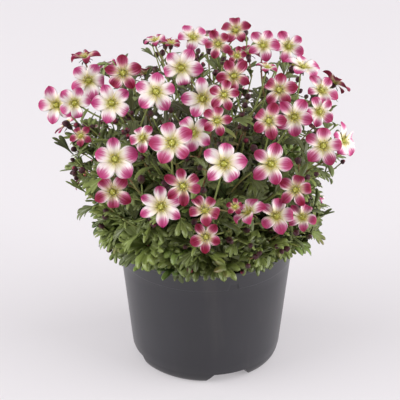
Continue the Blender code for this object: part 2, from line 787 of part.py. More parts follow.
def combine(body, others, operation):
    """One Boolean between a body and a collection of others, applied, with the others removed."""
    group = bpy.data.collections.new("combine")
    bpy.context.scene.collection.children.link(group)
    for other in others:
        bpy.context.scene.collection.objects.unlink(other)
        group.objects.link(other)
    change = body.modifiers.new("combine", "BOOLEAN")
    change.operation = operation
    change.operand_type = "COLLECTION"
    change.collection = group
    apply_modifiers(body)
    for other in others:
        bpy.data.objects.remove(other)
    bpy.data.collections.remove(group)


class Skin:
    """One closed surface, grown ring by ring. What branches off is welded in where a face was."""

    def __init__(self):
        self.points = []
        self.faces = []
        self.hosts = {}

    def ring(self, points):
        """Adds points and returns their numbers."""
        first = len(self.points)
        self.points += points
        return list(range(first, len(self.points)))

    def face(self, corners, colour, host=None):
        self.faces.append((tuple(corners), colour))
        if host is not None:
            self.hosts[host] = len(self.faces) - 1

    def open(self, host):
        """Takes away the face that a branch grows from and returns its corners."""
        number = self.hosts.pop(host)
        corners = self.faces[number][0]
        self.faces[number] = None
        return list(corners)

    def facing(self, ring):
        """The direction that a ring of corners faces, by the right-hand rule."""
        total = Vector()
        for first, second in zip(ring, ring[1:] + ring[:1]):
            total += self.points[first].cross(self.points[second])
        return total.normalized()

    def middle(self, ring):
        return sum((self.points[corner] for corner in ring), Vector()) / len(ring)

    def zip(self, outer, inner, colour, far=False):
        """Joins a ring to one inside it, of any number of corners, by the shortest flat triangles.

        Rings that are far apart, as in a tube, are matched as if they lay about the same middle.
        """
        if self.facing(outer).dot(self.facing(inner)) < 0:
            inner = inner[::-1]
        shift = self.middle(outer) - self.middle(inner) if far else None
        turns = [inner[start:] + inner[:start] for start in range(len(inner))]
        ways = [self.zip_from(outer, turn, shift) for turn in turns]
        _, faces = min(ways, key=lambda way: way[0])
        for corners in faces:
            self.face(corners, colour)

    def zip_from(self, outer, inner, shift):
        """The best triangles between two rings, from their first corners on, after what they cost.

        A step along the outer ring comes first and one along the inner ring last, so that no
        cross edge is used twice. A cross edge costs its length, and a triangle that folds back a lot.
        """
        count, other = len(outer), len(inner)
        up = self.facing(outer)

        def triangle(place, after):
            a, b = outer[place[0] % count], inner[place[1] % other]
            ahead = outer[after[0] % count] if after[0] > place[0] else inner[after[1] % other]
            return a, ahead, b

        def cost(place, after):
            span = self.points[outer[after[0] % count]] - self.points[inner[after[1] % other]]
            if shift is not None:
                return (span - shift).length
            a, ahead, b = (self.points[corner] for corner in triangle(place, after))
            folds = (ahead - a).cross(b - a).dot(up) < 0
            return span.length + (FOLD_COST if folds else 0)

        best = {(0, 0): (0.0, None)}
        for at in range(1, count + 1):
            for to in range(other + 1):
                if (at, to) == (count, 0) or (to == other and at < count):
                    continue
                before = [place for place in ((at - 1, to), (at, to - 1)) if place in best]
                if (at, to) == (count, other):
                    before = [(at, to - 1)]
                best[at, to] = min((best[place][0] + cost(place, (at, to)), place) for place in before)
        faces = []
        place = (count, other)
        while best[place][1] is not None:
            faces.append(triangle(best[place][1], place))
            place = best[place][1]
        return best[count, other][0], faces

    def weld(self, host, ring, along, colour):
        """Joins a branch to an open face, once its first ring is cut level just above that face."""
        middle = self.middle(host)
        facing = self.facing(host)
        if facing.dot(along) < 0:
            facing = -facing
        for corner in ring:
            short = WELD_HEIGHT - (self.points[corner] - middle).dot(facing)
            self.points[corner] = self.points[corner] + along * (short / along.dot(facing))
        self.zip(host, ring, colour)

    def tube(self, points, radii, colour, sides=3, start=None, hosts=False):
        """Rings along a line, from a first ring or an open one; each side of a stretch can be a host."""
        axes = ring_axes(points)
        rings = [start] if start else []
        for number in range(len(rings), len(points)):
            _, side, other = axes[number]
            corners = []
            for corner in range(sides):
                angle = math.tau * corner / sides
                off = side * math.cos(angle) + other * math.sin(angle)
                corners.append(points[number] + off * radii[number])
            rings.append(self.ring(corners))
        if start:
            self.zip(rings[0], rings[1], colour, far=True)
            rings = rings[1:]
        for number, (low, high) in enumerate(zip(rings, rings[1:])):
            for corner in range(sides):
                after = (corner + 1) % sides
                host = (number, corner) if hosts else None
                self.face((low[corner], low[after], high[after], high[corner]), colour, host)
        return rings

    def object(self, name, materials):
        """The surface as a mesh object, all triangles and facing out."""
        faces = [face for face in self.faces if face is not None]
        mesh = bpy.data.meshes.new(name)
        mesh.from_pydata([tuple(point) for point in self.points], [], [corners for corners, _ in faces])
        for each in materials:
            mesh.materials.append(each)
        mesh.polygons.foreach_set("material_index", [colour for _, colour in faces])
        shape = bmesh.new()
        shape.from_mesh(mesh)
        bmesh.ops.triangulate(shape, faces=shape.faces, quad_method="SHORT_EDGE")
        bmesh.ops.recalc_face_normals(shape, faces=shape.faces)
        shape.to_mesh(mesh)
        shape.free()
        made = bpy.data.objects.new(name, mesh)
        bpy.context.scene.collection.objects.link(made)
        return made


STEM, LEAF, PETALS, BUD = range(4)


def grow_bloom(skin, bloom, calyx):
    """Petals in one thin star, thick at their ribs, with the ovary on top, welded to the calyx ring."""
    size = bloom.radius
    wide = PETAL_HALF_WIDTH * 5 / bloom.petals

    def spot(along, across, share, side, lift=0.0):
        place = (along * share + across * side) * size + bloom.normal * (petal_rise(share) * size + lift)
        return bloom.centre + place

    ovary = skin.ring([bloom.centre + bloom.normal * OVARY_HEIGHT])[0]
    petals = []
    for petal in range(bloom.petals):
        along, across = petal_axes(bloom, petal)
        after = petal_axes(bloom, petal + 1)[0]
        petals.append(skin.ring([
            spot((along + after).normalized(), across, PETAL_NOTCH, 0),
            spot(along, across, PETAL_WIDEST, wide),
            spot(along, across, PETAL_TIP, PETAL_TIP_HALF_WIDTH),
            spot(along, across, PETAL_TIP, -PETAL_TIP_HALF_WIDTH),
            spot(along, across, PETAL_WIDEST, -wide),
            spot(along, across, PETAL_RIB, 0, PETAL * 0.3),
            spot(along, across, PETAL_RIB, 0, -PETAL * 0.7),
        ]))
    under = []
    for petal in range(bloom.petals):
        notch, *edge, top, bottom = petals[petal]
        before = petals[petal - 1][0]
        outline = [before] + edge + [notch]
        for first, second in zip(outline, outline[1:]):
            skin.face((top, first, second), PETALS)
            skin.face((bottom, second, first), PETALS)
        skin.face((ovary, before, top), PETALS)
        skin.face((ovary, top, notch), PETALS)
        under += [bottom, notch]
    skin.zip(under, calyx, PETALS)


def grow_leaf(skin, leaf, host):
    """A lobed leaf on its stalk, thick at the rib and drawn out to its edge, welded to an open ring."""
    half = LEAF_HALVES[leaf.lobes]
    stalk = STALK_HALF_WIDTH / leaf.length
    left = [leaf_point(leaf, 0, -stalk)] + [leaf_point(leaf, share, -side) for share, side in half]
    right = [leaf_point(leaf, 0, stalk)] + [leaf_point(leaf, share, side) for share, side in half]
    ring = skin.ring(left + [leaf_point(leaf, 1.0, 0)] + right[::-1])
    top, bottom, keel = skin.ring([
        leaf_point(leaf, LEAF_RIB, 0, BLADE * 0.4), leaf_point(leaf, LEAF_RIB, 0, -BLADE * 0.6),
        leaf_point(leaf, 0, 0, -BLADE),
    ])
    for first, second in zip(ring, ring[1:]):
        skin.face((top, first, second), LEAF)
        skin.face((bottom, second, first), LEAF)
    skin.face((top, ring[-1], ring[0]), LEAF)
    skin.face((bottom, ring[0], keel), LEAF)
    skin.face((bottom, keel, ring[-1]), LEAF)
    if leaf.place == "tip":
        skin.zip(host, [ring[0], keel, ring[-1]], LEAF, far=True)
    else:
        skin.weld(host, [ring[0], keel, ring[-1]], leaf.along, LEAF)


def grow_bud(skin, bud, host):
    """A closed bud on a short stalk of its own."""
    root, tip = bud.points
    run = (tip - root).normalized()
    points = [root, tip - run * BUD_LENGTH, tip - run * 2.0 * MM, tip]
    radii = [PEDICEL_RADIUS * 0.8, PEDICEL_RADIUS * 0.9, bud.size, 0.5 * MM]
    stalk = skin.tube(points[:2], radii[:2], STEM)
    skin.weld(host, stalk[0], run, STEM)
    head = skin.tube(points[1:], radii[1:], BUD, start=stalk[1])
    skin.face(head[-1], BUD)


def grow_node(name, growth, materials):
    """One flowering or leafy stem with all that it carries, as one closed surface."""
    skin = Skin()
    steps = len(growth.stem) - 1
    radii = [STEM_RADIUS * (1 - 0.2 * step / steps) for step in range(steps + 1)]
    rings = skin.tube(growth.stem, radii, STEM, hosts=True)
    skin.face(rings[0], STEM)
    for pedicel, bloom in zip(growth.pedicels, growth.blooms):
        thin = [PEDICEL_RADIUS] * (len(pedicel.points) - 1) + [CALYX_RADIUS]
        if pedicel.place == "tip":
            points = [growth.stem[-1]] + pedicel.points
            line = skin.tube(points, [radii[-1]] + thin, STEM, start=rings[-1])
        else:
            thin[0] *= WELD_SHARE
            line = skin.tube(pedicel.points, thin, STEM)
            along = (pedicel.points[1] - pedicel.points[0]).normalized()
            skin.weld(skin.open(pedicel.place), line[0], along, STEM)
        grow_bloom(skin, bloom, line[-1])
    for leaf in growth.leaves:
        grow_leaf(skin, leaf, rings[-1] if leaf.place == "tip" else skin.open(leaf.place))
    for bud in growth.buds:
        grow_bud(skin, bud, skin.open(bud.place))
    return skin.object(name, materials)


def pot_outline():
    """The pot's section from its axis, out along the underside, up the wall and down inside."""
    inner = COLLAR_RADIUS - WALL
    return [
        (0, 0), (BASE_RADIUS, 0),
        (BASE_RADIUS + 3.6 * MM, 1.0 * MM), (BASE_RADIUS + 5.8 * MM, 3.6 * MM),
        (CORNER_RADIUS, CORNER_HEIGHT),
        (COLLAR_RADIUS, COLLAR_FOOT), (COLLAR_RADIUS + COLLAR_STEP, COLLAR_FOOT + 0.7 * MM),
        (LIP_RADIUS - 1.2 * MM, POT_HEIGHT - LIP_BAND),
        (LIP_RADIUS, POT_HEIGHT - 0.9 * MM), (LIP_RADIUS - 0.5 * MM, POT_HEIGHT),
        (LIP_RADIUS - 1.6 * MM, POT_HEIGHT - 0.2 * MM),
        (LIP_RADIUS - 2 * WALL, POT_HEIGHT - LIP_BAND - 0.4 * MM),
        (inner - 0.2 * MM, COLLAR_FOOT - 1.0 * MM),
        (CORNER_RADIUS - WALL, CORNER_HEIGHT), (CORNER_RADIUS - 2.4 * MM, NOTCH_ROOF),
        (NOTCH_INNER_RADIUS - WALL, NOTCH_ROOF), (NOTCH_INNER_RADIUS - WALL - 1 * MM, FLOOR), (0, FLOOR),
    ]


def turned(name, outline, sides, materials):
    """A solid turned about the Z axis from an outline that starts and ends on the axis."""
    vertices = [Vector((0, 0, outline[0][1])), Vector((0, 0, outline[-1][1]))]
    rings = outline[1:-1]
    for radius, height in rings:
        for side in range(sides):
            angle = math.tau * side / sides
            vertices.append(Vector((radius * math.cos(angle), radius * math.sin(angle), height)))
    faces = []
    for side in range(sides):
        after = (side + 1) % sides
        faces.append((0, 2 + after, 2 + side))
        last = 2 + (len(rings) - 1) * sides
        faces.append((1, last + side, last + after))
        for ring in range(len(rings) - 1):
            low = 2 + ring * sides
            faces.append((low + side, low + after, low + sides + after, low + sides + side))
    return add_object(name, vertices, faces, materials)


def ring_sector(name, inner, outer, low, high, middle, arc, taper, materials):
    """A block between two radii and two heights, over an arc about the Z axis that tapers upwards."""
    vertices = []
    steps = 4
    corners = ((inner, low, 1), (outer, low, 1), (outer, high, taper), (inner, high, taper))
    for step in range(steps + 1):
        for radius, height, share in corners:
            angle = middle + arc * share * (step / steps - 0.5)
            vertices.append(Vector((radius * math.cos(angle), radius * math.sin(angle), height)))
    faces = [(0, 1, 2, 3), tuple(range(len(vertices) - 4, len(vertices)))]
    for step in range(steps):
        for corner in range(4):
            a, b = step * 4 + corner, step * 4 + (corner + 1) % 4
            faces += [(a, b, b + 4), (a, b + 4, a + 4)]
    return add_object(name, vertices, faces, materials)


def make_pot():
    """The pot, with drainage notches round its foot and a small catch recess under the collar."""
    plastic = [material("pot_plastic", (0.055, 0.055, 0.062), 0.45)]
    pot = turned("pot", pot_outline(), POT_SIDES, plastic)
    cutters = []
    for number in range(NOTCHES):
        middle = NOTCH_AZIMUTH + math.tau * number / NOTCHES
        cutters.append(ring_sector("notch", NOTCH_INNER_RADIUS, LIP_RADIUS, -1 * MM, NOTCH_HEIGHT,
                                   middle, NOTCH_ARC, NOTCH_TAPER, plastic))
    catch_arc = CATCH_WIDTH / COLLAR_RADIUS
    cutters.append(ring_sector("catch", COLLAR_RADIUS + 0.25 * MM, LIP_RADIUS, COLLAR_FOOT - 1 * MM,
                               COLLAR_FOOT + CATCH_HEIGHT, CATCH_AZIMUTH, catch_arc, CATCH_TAPER, plastic))
    combine(pot, cutters, "DIFFERENCE")
    return pot


def soil_lift(x, y):
    """Height of the soil's crumbs over its level, none in the middle, where the cushion sits."""
    reach = math.hypot(x, y)
    share = min(1, max(0, (reach - CORE_FOOT_RADIUS) / (5 * MM)))
    return share * SOIL_BUMP * (0.2 + noise.noise(Vector((x, y, 0)) / CRUMB_SPACING))


def make_soil():
    """The body of peat in the pot, crumbly where it shows, with a plain hole for the root."""
    peat = [material("peat", (0.035, 0.025, 0.018), 0.95)]
    slope = (COLLAR_RADIUS - CORNER_RADIUS) / (COLLAR_FOOT - CORNER_HEIGHT)
    below_collar = COLLAR_RADIUS - WALL - 2 * MM * slope - 2 * GAP
    hole = ROOT_RADIUS + GAP
    outline = [
        (0, FLOOR + GAP), (NOTCH_INNER_RADIUS - WALL - 1.8 * MM, FLOOR + GAP),
        (NOTCH_INNER_RADIUS - WALL - 0.8 * MM, NOTCH_ROOF + GAP),
        (CORNER_RADIUS - 3.4 * MM, NOTCH_ROOF + GAP), (CORNER_RADIUS - WALL - 1.2 * MM, CORNER_HEIGHT),
        (below_collar, COLLAR_FOOT - 2 * MM), (below_collar + 0.8 * MM, SOIL_LEVEL - 3.6 * MM),
        (below_collar + 1.2 * MM, SOIL_LEVEL), (CORE_FOOT_RADIUS + 4 * MM, SOIL_LEVEL),
        (CORE_FOOT_RADIUS, SOIL_LEVEL), (hole, SOIL_LEVEL),
        (hole, SOIL_LEVEL - ROOT_DEPTH - GAP), (0, SOIL_LEVEL - ROOT_DEPTH - GAP),
    ]
    soil = turned("soil", outline, SOIL_SIDES, peat)
    for vertex in soil.data.vertices:
        if vertex.co.z > SOIL_LEVEL - 0.1 * MM:
            vertex.co.z += soil_lift(vertex.co.x, vertex.co.y)
    return soil


def make_cushion(leaves, growths, materials):
    """The low leafy mass: a core with a root below, a hole for every stem, and leaves all over."""
    skin = Skin()
    rings = []
    for row in range(CORE_ROWS + 1):
        rings.append(skin.ring([core_corner(row, column) for column in range(CORE_COLUMNS)]))
    for row, column in core_fields():
        after = (column + 1) % CORE_COLUMNS
        low, high = rings[row], rings[row + 1]
        skin.face((low[column], low[after], high[after], high[column]), LEAF, (row, column))
    crown = skin.ring([Vector((0, 0, CORE_TOP))])[0]
    for column in range(CORE_COLUMNS):
        skin.face((rings[-1][column], rings[-1][(column + 1) % CORE_COLUMNS], crown), LEAF)
    root = skin.tube([Vector((0, 0, CORE_FOOT)), Vector((0, 0, SOIL_LEVEL - ROOT_DEPTH))],
                     [ROOT_RADIUS, ROOT_RADIUS * 0.8], STEM, sides=ROOT_SIDES)
    skin.zip(rings[0], root[0], STEM)
    skin.face(root[-1], STEM)
    for growth in growths:
        middle, facing = core_field(growth.field)
        side = square_to(growth.drill)
        other = growth.drill.cross(side)
        mouth, end = [], []
        for corner in range(3):
            angle = math.tau * corner / 3
            off = (side * math.cos(angle) + other * math.sin(angle)) * HOLE_RADIUS
            slide = growth.drill * (off.dot(facing) / growth.drill.dot(facing))
            mouth.append(middle + off - slide)
            end.append(middle + off - growth.drill * (HOLE_DEPTH + GAP))
        mouth, end = skin.ring(mouth), skin.ring(end)
        skin.zip(skin.open(growth.field), mouth, LEAF)
        for corner in range(3):
            after = (corner + 1) % 3
            skin.face((mouth[corner], mouth[after], end[after], end[corner]), STEM)
        skin.face(end, STEM)
    for leaf in leaves:
        grow_leaf(skin, leaf, skin.open(leaf.place))
    return skin.object("cushion", materials)


def main():
    for old in list(bpy.data.objects):
        bpy.data.objects.remove(old)
    greens = [
        material("stem", (0.20, 0.24, 0.07), 0.6),
        material("leaf", (0.10, 0.19, 0.04), 0.55),
        material("petal", (0.78, 0.30, 0.48), 0.6),
        material("bud", (0.12, 0.02, 0.04), 0.6),
    ]
    sprays, shoots, leaves = plan_plant()
    make_pot()
    make_soil()
    make_cushion(leaves, sprays + shoots, greens)
    for number, spray in enumerate(sprays):
        grow_node(f"spray_{number + 1:02d}", spray, greens)
    for number, shoot in enumerate(shoots):
        grow_node(f"shoot_{number + 1:02d}", shoot, greens)
    for body in bpy.data.objects:
        if body.name in ("pot", "soil"):
            body.data.shade_smooth()
            body.data.set_sharp_from_angle(angle=math.radians(35))


main()
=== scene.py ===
"""The finished look of a potted saxifrage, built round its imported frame.

Each flowering stem, leafy shoot, the cushion, the peat and the pot of the frame gets a finer
piece that keeps its place and form, and more foliage fills the plant. Lengths are in metres,
+Z is up, -Y is the front, and the pot's axis is the Z axis.
"""

import math
import random
from collections import Counter, namedtuple
from itertools import product

import bmesh
import bpy
import numpy as np
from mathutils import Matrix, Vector, noise


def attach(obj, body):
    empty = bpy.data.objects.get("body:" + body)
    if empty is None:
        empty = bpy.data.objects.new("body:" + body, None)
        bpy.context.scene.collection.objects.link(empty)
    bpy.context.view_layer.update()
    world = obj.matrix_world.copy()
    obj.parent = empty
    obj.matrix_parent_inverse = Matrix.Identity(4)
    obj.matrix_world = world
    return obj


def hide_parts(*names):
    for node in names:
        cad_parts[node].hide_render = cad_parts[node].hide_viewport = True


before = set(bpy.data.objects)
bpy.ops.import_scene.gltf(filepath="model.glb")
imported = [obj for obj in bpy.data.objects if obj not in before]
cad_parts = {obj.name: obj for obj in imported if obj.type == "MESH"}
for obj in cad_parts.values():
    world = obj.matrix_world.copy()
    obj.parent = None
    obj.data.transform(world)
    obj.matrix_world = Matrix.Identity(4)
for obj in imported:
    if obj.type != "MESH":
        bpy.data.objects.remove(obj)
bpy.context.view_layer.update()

bl_info = {
    "name": "Potted saxifrage",
    "version": (1, 0, 0),
    "blender": (4, 5, 0),
    "location": "3D View > Sidebar > Saxifrage",
    "description": "Makes the pot, the peat, the leafy cushion and the flowers of a potted saxifrage",
    "category": "Object",
}

MM = 0.001
UP = Vector((0.0, 0.0, 1.0))
SEED = 11
GAP = 0.3 * MM
GOLDEN_ANGLE = math.pi * (3 - math.sqrt(5))
SPREAD_STEP = 0.618

# Pot
POT_HEIGHT = 87.0 * MM
LIP_RADIUS = 59.4 * MM
COLLAR_RADIUS = 56.4 * MM
COLLAR_FOOT = 73.6 * MM
COLLAR_STEP = 0.6 * MM
CORNER_RADIUS = 50.6 * MM
CORNER_HEIGHT = 14.0 * MM
BASE_RADIUS = 43.4 * MM
WALL = 1.3 * MM
FLOOR = 2.4 * MM
NOTCHES = 4
NOTCH_AZIMUTH = math.radians(-71)
NOTCH_ARC = math.radians(41)
NOTCH_TAPER = 0.62
NOTCH_HEIGHT = 7.2 * MM
NOTCH_INNER_RADIUS = 35.5 * MM
CATCH_AZIMUTH = math.radians(-72.3)
CATCH_WIDTH = 7.8 * MM
CATCH_HEIGHT = 4.3 * MM
CATCH_TAPER = 0.6
NOTCH_ROOF = NOTCH_HEIGHT + WALL
EDGE_WIDTH = 0.3 * MM
SOFTENED_FROM = math.radians(40)
SHARP_FROM = math.radians(35)

# Soil
SOIL_LEVEL = 82.0 * MM
SOIL_BUMP = 0.9 * MM

# Cushion
CORE_FOOT = SOIL_LEVEL + GAP
CORE_TOP = 132.4 * MM
CORE_WIDEST = 100.4 * MM
CORE_RADIUS = 48.0 * MM
CORE_FOOT_RADIUS = 46.0 * MM
CORE_ROWS = 7
CORE_COLUMNS = 22
CUSHION_LEAVES = 72

# Head of flowers
DOME_TOP = 217.4 * MM
DOME_WIDEST = 164.4 * MM
DOME_RADIUS = 101.0 * MM
DOME_NECK_RADIUS = 68.0 * MM
DOME_FOOT = 90.4 * MM
DOME_POWER = 2.1
HEART = Vector((0.0, 0.0, 76.4 * MM))

# Stems, leaves and buds
CALYX_DROP = 2.3 * MM
NECK_DROP = 5.0 * MM
HOLE_DEPTH = 7.0 * MM
LEAF_RIB = 0.56
SPRAY_REACH = 38.0 * MM
SPRAY_BLOOMS = 3
FORK_DEPTH = 25.0 * MM
LONE_FORK_DEPTH = 14.0 * MM
SHOOTS = 15
BRANCH_START = 1.1 * MM
LEAF_START = 1.2 * MM
STEM_LEAF = 15.0 * MM
TIP_LEAF = 16.0 * MM
SHOOT_LEAVES = (15.0 * MM, 19.0 * MM)
SHOOT_LEAVES_MOST = 7
SHOOT_LEAVES_LEAST = 5
CUSHION_LEAF = (20.0 * MM, 27.0 * MM)
BUD_STALK = (11.0 * MM, 17.0 * MM)
BUD_RADIUS = (1.7 * MM, 2.2 * MM)
BUDS_A_SPRAY = 2

# Radius of the space kept clear around each thing
STEM_ROOM = 1.25 * MM
PEDICEL_ROOM = 1.1 * MM
PETAL_ROOM = 1.7 * MM
CALYX_ROOM = 2.2 * MM
LEAF_ROOM = 1.1 * MM
BUD_ROOM = 2.0 * MM
CORE_ROOM = 0.8 * MM
FORK_ROOM = 9.0 * MM

# Where the photograph was taken from, for placing each bloom on its line of sight
VIEW_TILT = math.radians(25.5)
VIEW_DISTANCE = 800 * MM
VIEW_POINT = Vector((-4 * MM, 0.0, 110.4 * MM))
VIEW_FOCAL_PIXELS = 1225
VIEW_MIDDLE_PIXEL = 200
SIGHT_START = 620 * MM
SIGHT_STEP = 1 * MM
SIGHT_STEPS = 330
PUSH_STEP = 1.5 * MM
PUSHES = 18

# Stage
FLOOR_SIDES = 96
LIT_POINT = Vector((0, 0, 0.12))
SKY_COLOUR = (0.98, 0.96, 1.0, 1.0)
SENSOR_WIDTH = 36.0

# One bloom as the photograph shows it. column and row are the pixel of its eye, width is in
# millimetres, right and up are how far it faces away from the lens (0 straight at it, 1 edge
# on), turn is the angle in degrees of one petal, clockwise from upright, and tone is its colour.
# A bloom has five petals unless its last number says otherwise.
Seen = namedtuple("Seen", "column row width right up turn tone petals", defaults=(5,))

BLOOMS_SEEN = [Seen(*bloom) for bloom in (
    (75, 103, 21, -0.15, 0.05, 20, "pale"),
    (57, 105, 24, -0.30, 0.05, -20, "pale"),
    (112, 103, 25, -0.05, 0.10, -20, "pale"),
    (89, 81, 24, -0.05, 0.30, -50, "pale"),
    (85, 58, 21, -0.15, 0.90, 10, "dark"),
    (81, 136, 14, -0.25, 0.25, -35, "dark"),
    (123, 73, 23, 0, 0.05, 0, "deep"),
    (156, 92, 25, 0, 0.10, 5, "pale"),
    (155, 41, 15, -0.15, 0.85, 20, "rose"),
    (171, 44, 14, 0.10, 0.90, 0, "deep"),
    (181, 68, 25, 0, 0.05, 28, "pale"),
    (193, 38, 23, 0.15, 0.60, -20, "pale"),
    (218, 44, 19, 0, 0.15, -25, "deep"),
    (236, 31, 22, 0, 0.50, 0, "deep"),
    (263, 46, 22, 0.05, 0.35, 25, "rose"),
    (288, 47, 22, 0.20, 0.35, -20, "rose"),
    (303, 68, 23, 0.30, 0.75, 10, "pale"),
    (237, 56, 13, 0, 0.30, 10, "dark"),
    (267, 68, 14, 0.20, 0.85, 0, "rose"),
    (224, 95, 19, 0.05, 0.15, 10, "deep"),
    (234, 76, 21, 0, 0.10, -30, "deep"),
    (217, 121, 19, 0.05, 0.05, 15, "deep"),
    (203, 99, 25, 0, 0.10, -10, "pale"),
    (294, 117, 22, 0.05, 0.05, 30, "rose"),
    (279, 90, 22, 0, 0.10, 5, "deep"),
    (269, 121, 21, -0.05, 0.10, 20, "deep"),
    (319, 112, 20, 0.30, 0.10, 50, "rose"),
    (321, 91, 22, 0.30, 0.50, -30, "rose"),
    (323, 146, 24, 0.10, 0.05, 12, "rose"),
    (343, 141, 22, 0.75, 0.20, 0, "pale"),
    (172, 143, 27, -0.05, 0.10, -12, "rose"),
    (193, 133, 23, 0.05, 0.10, 45, "pale"),
    (143, 138, 17, -0.15, 0.20, -35, "rose"),
    (115, 159, 26, -0.05, 0.05, 5, "pale"),
    (224, 164, 26, 0.05, 0.10, 10, "pale"),
    (271, 164, 25, 0.05, 0.05, 15, "rose"),
    (113, 192, 23, -0.05, 0.05, 35, "deep"),
    (183, 186, 22, 0, 0.05, -10, "deep", 6),
    (296, 190, 21, -0.25, 0.10, 80, "deep"),
    (161, 207, 26, 0, 0.15, 0, "pale", 6),
    (205, 211, 21, 0, 0.45, 35, "deep"),
    (206, 237, 19, 0, 0.05, -35, "deep"),
    (249, 213, 22, -0.45, 0.70, 0, "rose"),
    (276, 217, 23, 0.05, 0.45, 15, "rose"),
    (302, 218, 20, 0.10, 0.45, 180, "rose"),
    (235, 207, 11, 0.05, 0.40, 0, "dark"),
)]

# Blooms on the sides that the photograph doesn't show. They stay below the head's upper outline
# as the photograph shows it: its top pixel, and its drop in pixels at half its width.
FAR_BLOOMS_TRIED = 150
FAR_SPACING = 30 * MM
FAR_LOWEST = 0.32
FAR_SPAN = 0.66
FAR_TOWARD_LENS = 0.10
SKYLINE_COLUMN = 215
SKYLINE_ROW = 36
SKYLINE_HALF_WIDTH = 130
SKYLINE_DROP = 45
FAR_WIDTHS = (19, 22, 24, 25)
FAR_TONES = ("pale", "deep", "rose", "pale", "rose", "dark")

Bloom = namedtuple("Bloom", "centre normal upright radius turn petals tone")
# place says which side of which stretch of the stem, or which field of the core, a thing grows from
Leaf = namedtuple("Leaf", "place root along face length lobes arch")
Pedicel = namedtuple("Pedicel", "place points")
Bud = namedtuple("Bud", "place points size")
Growth = namedtuple("Growth", "field stem drill pedicels blooms leaves buds")

# How often each thing is tried at another place before it is left out
SPRAY_TRIES = 240
SHOOT_TRIES = 80
LEAF_TRIES = 16
LOOSE_LEAF_TRIES = 4
TUFT_LEAF_TRIES = 3
BUD_TRIES = 6

# How far a leaf has to stand out from what it grows from, and its face from its own length
LEAF_LEAVES_AT = 0.45
LEAF_LIES_AT = 0.15
LOOSE_LEAF_LIES_AT = 0.1

# Skins, in the order of the plant's materials, and the values that each face keeps for them
PETAL_SKIN, EYE_SKIN, LEAF_SKIN, STEM_SKIN, BUD_SKIN, THATCH_SKIN = range(6)
FACE_VALUES = ("depth", "chance", "under")

# Petals: rows and columns of faces, where they are widest, how pointed they are, and for each tone
# how deep they are in colour and how full
PETAL_ROWS = 10
PETAL_COLUMNS = 8
PETAL_MIDDLE = 0.60
PETAL_POINTS = (0.62, 0.76, 0.92)
PETAL_DEPTHS = {"pale": 0.20, "rose": 0.45, "deep": 0.74, "dark": 1.0}
PETAL_FULLNESS = {"pale": 0.355, "rose": 0.345, "deep": 0.335, "dark": 0.33}
USUAL_BLOOM = 12 * MM

# The eye of a bloom, its cup, and buds
EYE_RADIUS = 1.95 * MM
OVARY_HEIGHTS = (-0.9, 0.0, 0.8, 1.5, 1.95)
OVARY_WIDTHS = (0.75, 1.0, 0.92, 0.62, 0.2)
STYLE_RADII = (0.34, 0.27, 0.24, 0.38)
STAMENS = 10
ANTHERS = 0.85
FILAMENT_RADII = (0.16 * MM, 0.13 * MM, 0.10 * MM)
CUP_DROPS = (4.6, 3.6, 2.2, 0.9, 0.3)
CUP_RADII = (0.55, 1.25, 1.85, 1.95, 1.5)
BUD_SHARES = (0.0, 0.14, 0.34, 0.56, 0.76, 0.92, 1.0)
BUD_WIDTHS = (0.30, 0.72, 0.97, 1.0, 0.80, 0.45, 0.12)

# Hairs on stems
HAIR_SPACING = 0.55 * MM
HAIR_LENGTH = 0.55 * MM
HAIR_RADII = (0.055 * MM, 0.02 * MM)

# Small leaves on the flowering stems, the leafy stems that fill the head, the tufts round the
# cushion and the dark mound inside it, old stems and leaves with painted shade. LEAFLESS is the share
# of a stem below its first leaf. Leaves of tufts stay FRINGE_BACK pixels above the foot of the foliage
# unless they arch over by DROOPING.
LEAFLESS = 0.35
BRACTS = (8 * MM, 13 * MM)
BRACT_COUNT = 5
FILLER_LOWEST = 0.16
FILLER_SPAN = 0.839
FILLER_STEP = 0.7548777
FILLER_REACH = (0.66, 0.97)
FILLER_LEAVES = (11 * MM, 19 * MM)
FILLER_BATCHES = 3
TUFT_LEAVES = (16 * MM, 25 * MM)
TUFT_RADII = (42 * MM, 70 * MM)
TUFT_HEIGHTS = (86.4 * MM, 132.4 * MM)
TUFT_REACH = 88 * MM
TUFT_LOWEST = 76.4 * MM
TUFT_BATCHES = 2
CROWN_STEP = 8
FRINGE_BACK = 9.0
DROOPING = 0.70
MOUND_SIDES = 72
MOUND_ROWS = 22
MOUND_HEAD = 0.985

# Sections of the pot and of its peat, and where the crumbs lie
SECTION_START = 20 * MM
WALL_STEPS = 10
SOIL_ROWS = 26
CRUMB_BAND = 16 * MM

# Outline of half a leaf: share of its length, and share of its length to the side
LEAF_HALVES = {
    1: ((0.50, 0.085), (0.78, 0.065)),
    3: ((0.46, 0.050), (0.80, 0.260), (0.69, 0.085)),
    5: ((0.40, 0.050), (0.60, 0.280), (0.60, 0.130), (0.87, 0.215), (0.78, 0.070)),
}


def cut(first, second, share):
    """The point that lies a share of the way from one point to another."""
    return first + (second - first) * share


def bend(start, middle, end, steps):
    """Points of the arc drawn by three guide points."""
    shares = [step / steps for step in range(steps + 1)]
    return [cut(cut(start, middle, share), cut(middle, end, share), share) for share in shares]


def turned(first, second, angle):
    """The direction that lies an angle from one axis towards another."""
    return first * math.cos(angle) + second * math.sin(angle)


def without(direction, axis):
    """A direction without the part of it that runs along an axis."""
    return direction - axis * direction.dot(axis)


def around(angle, reach, height):
    """The point at an angle about the Z axis, at a reach from it and a height."""
    return Vector((math.cos(angle) * reach, math.sin(angle) * reach, height))


def square_to(direction):
    """A unit vector at right angles to a direction, level where that is possible."""
    side = direction.cross(UP)
    if side.length < 0.05:
        side = direction.cross(Vector((0.0, 1.0, 0.0)))
    return side.normalized()


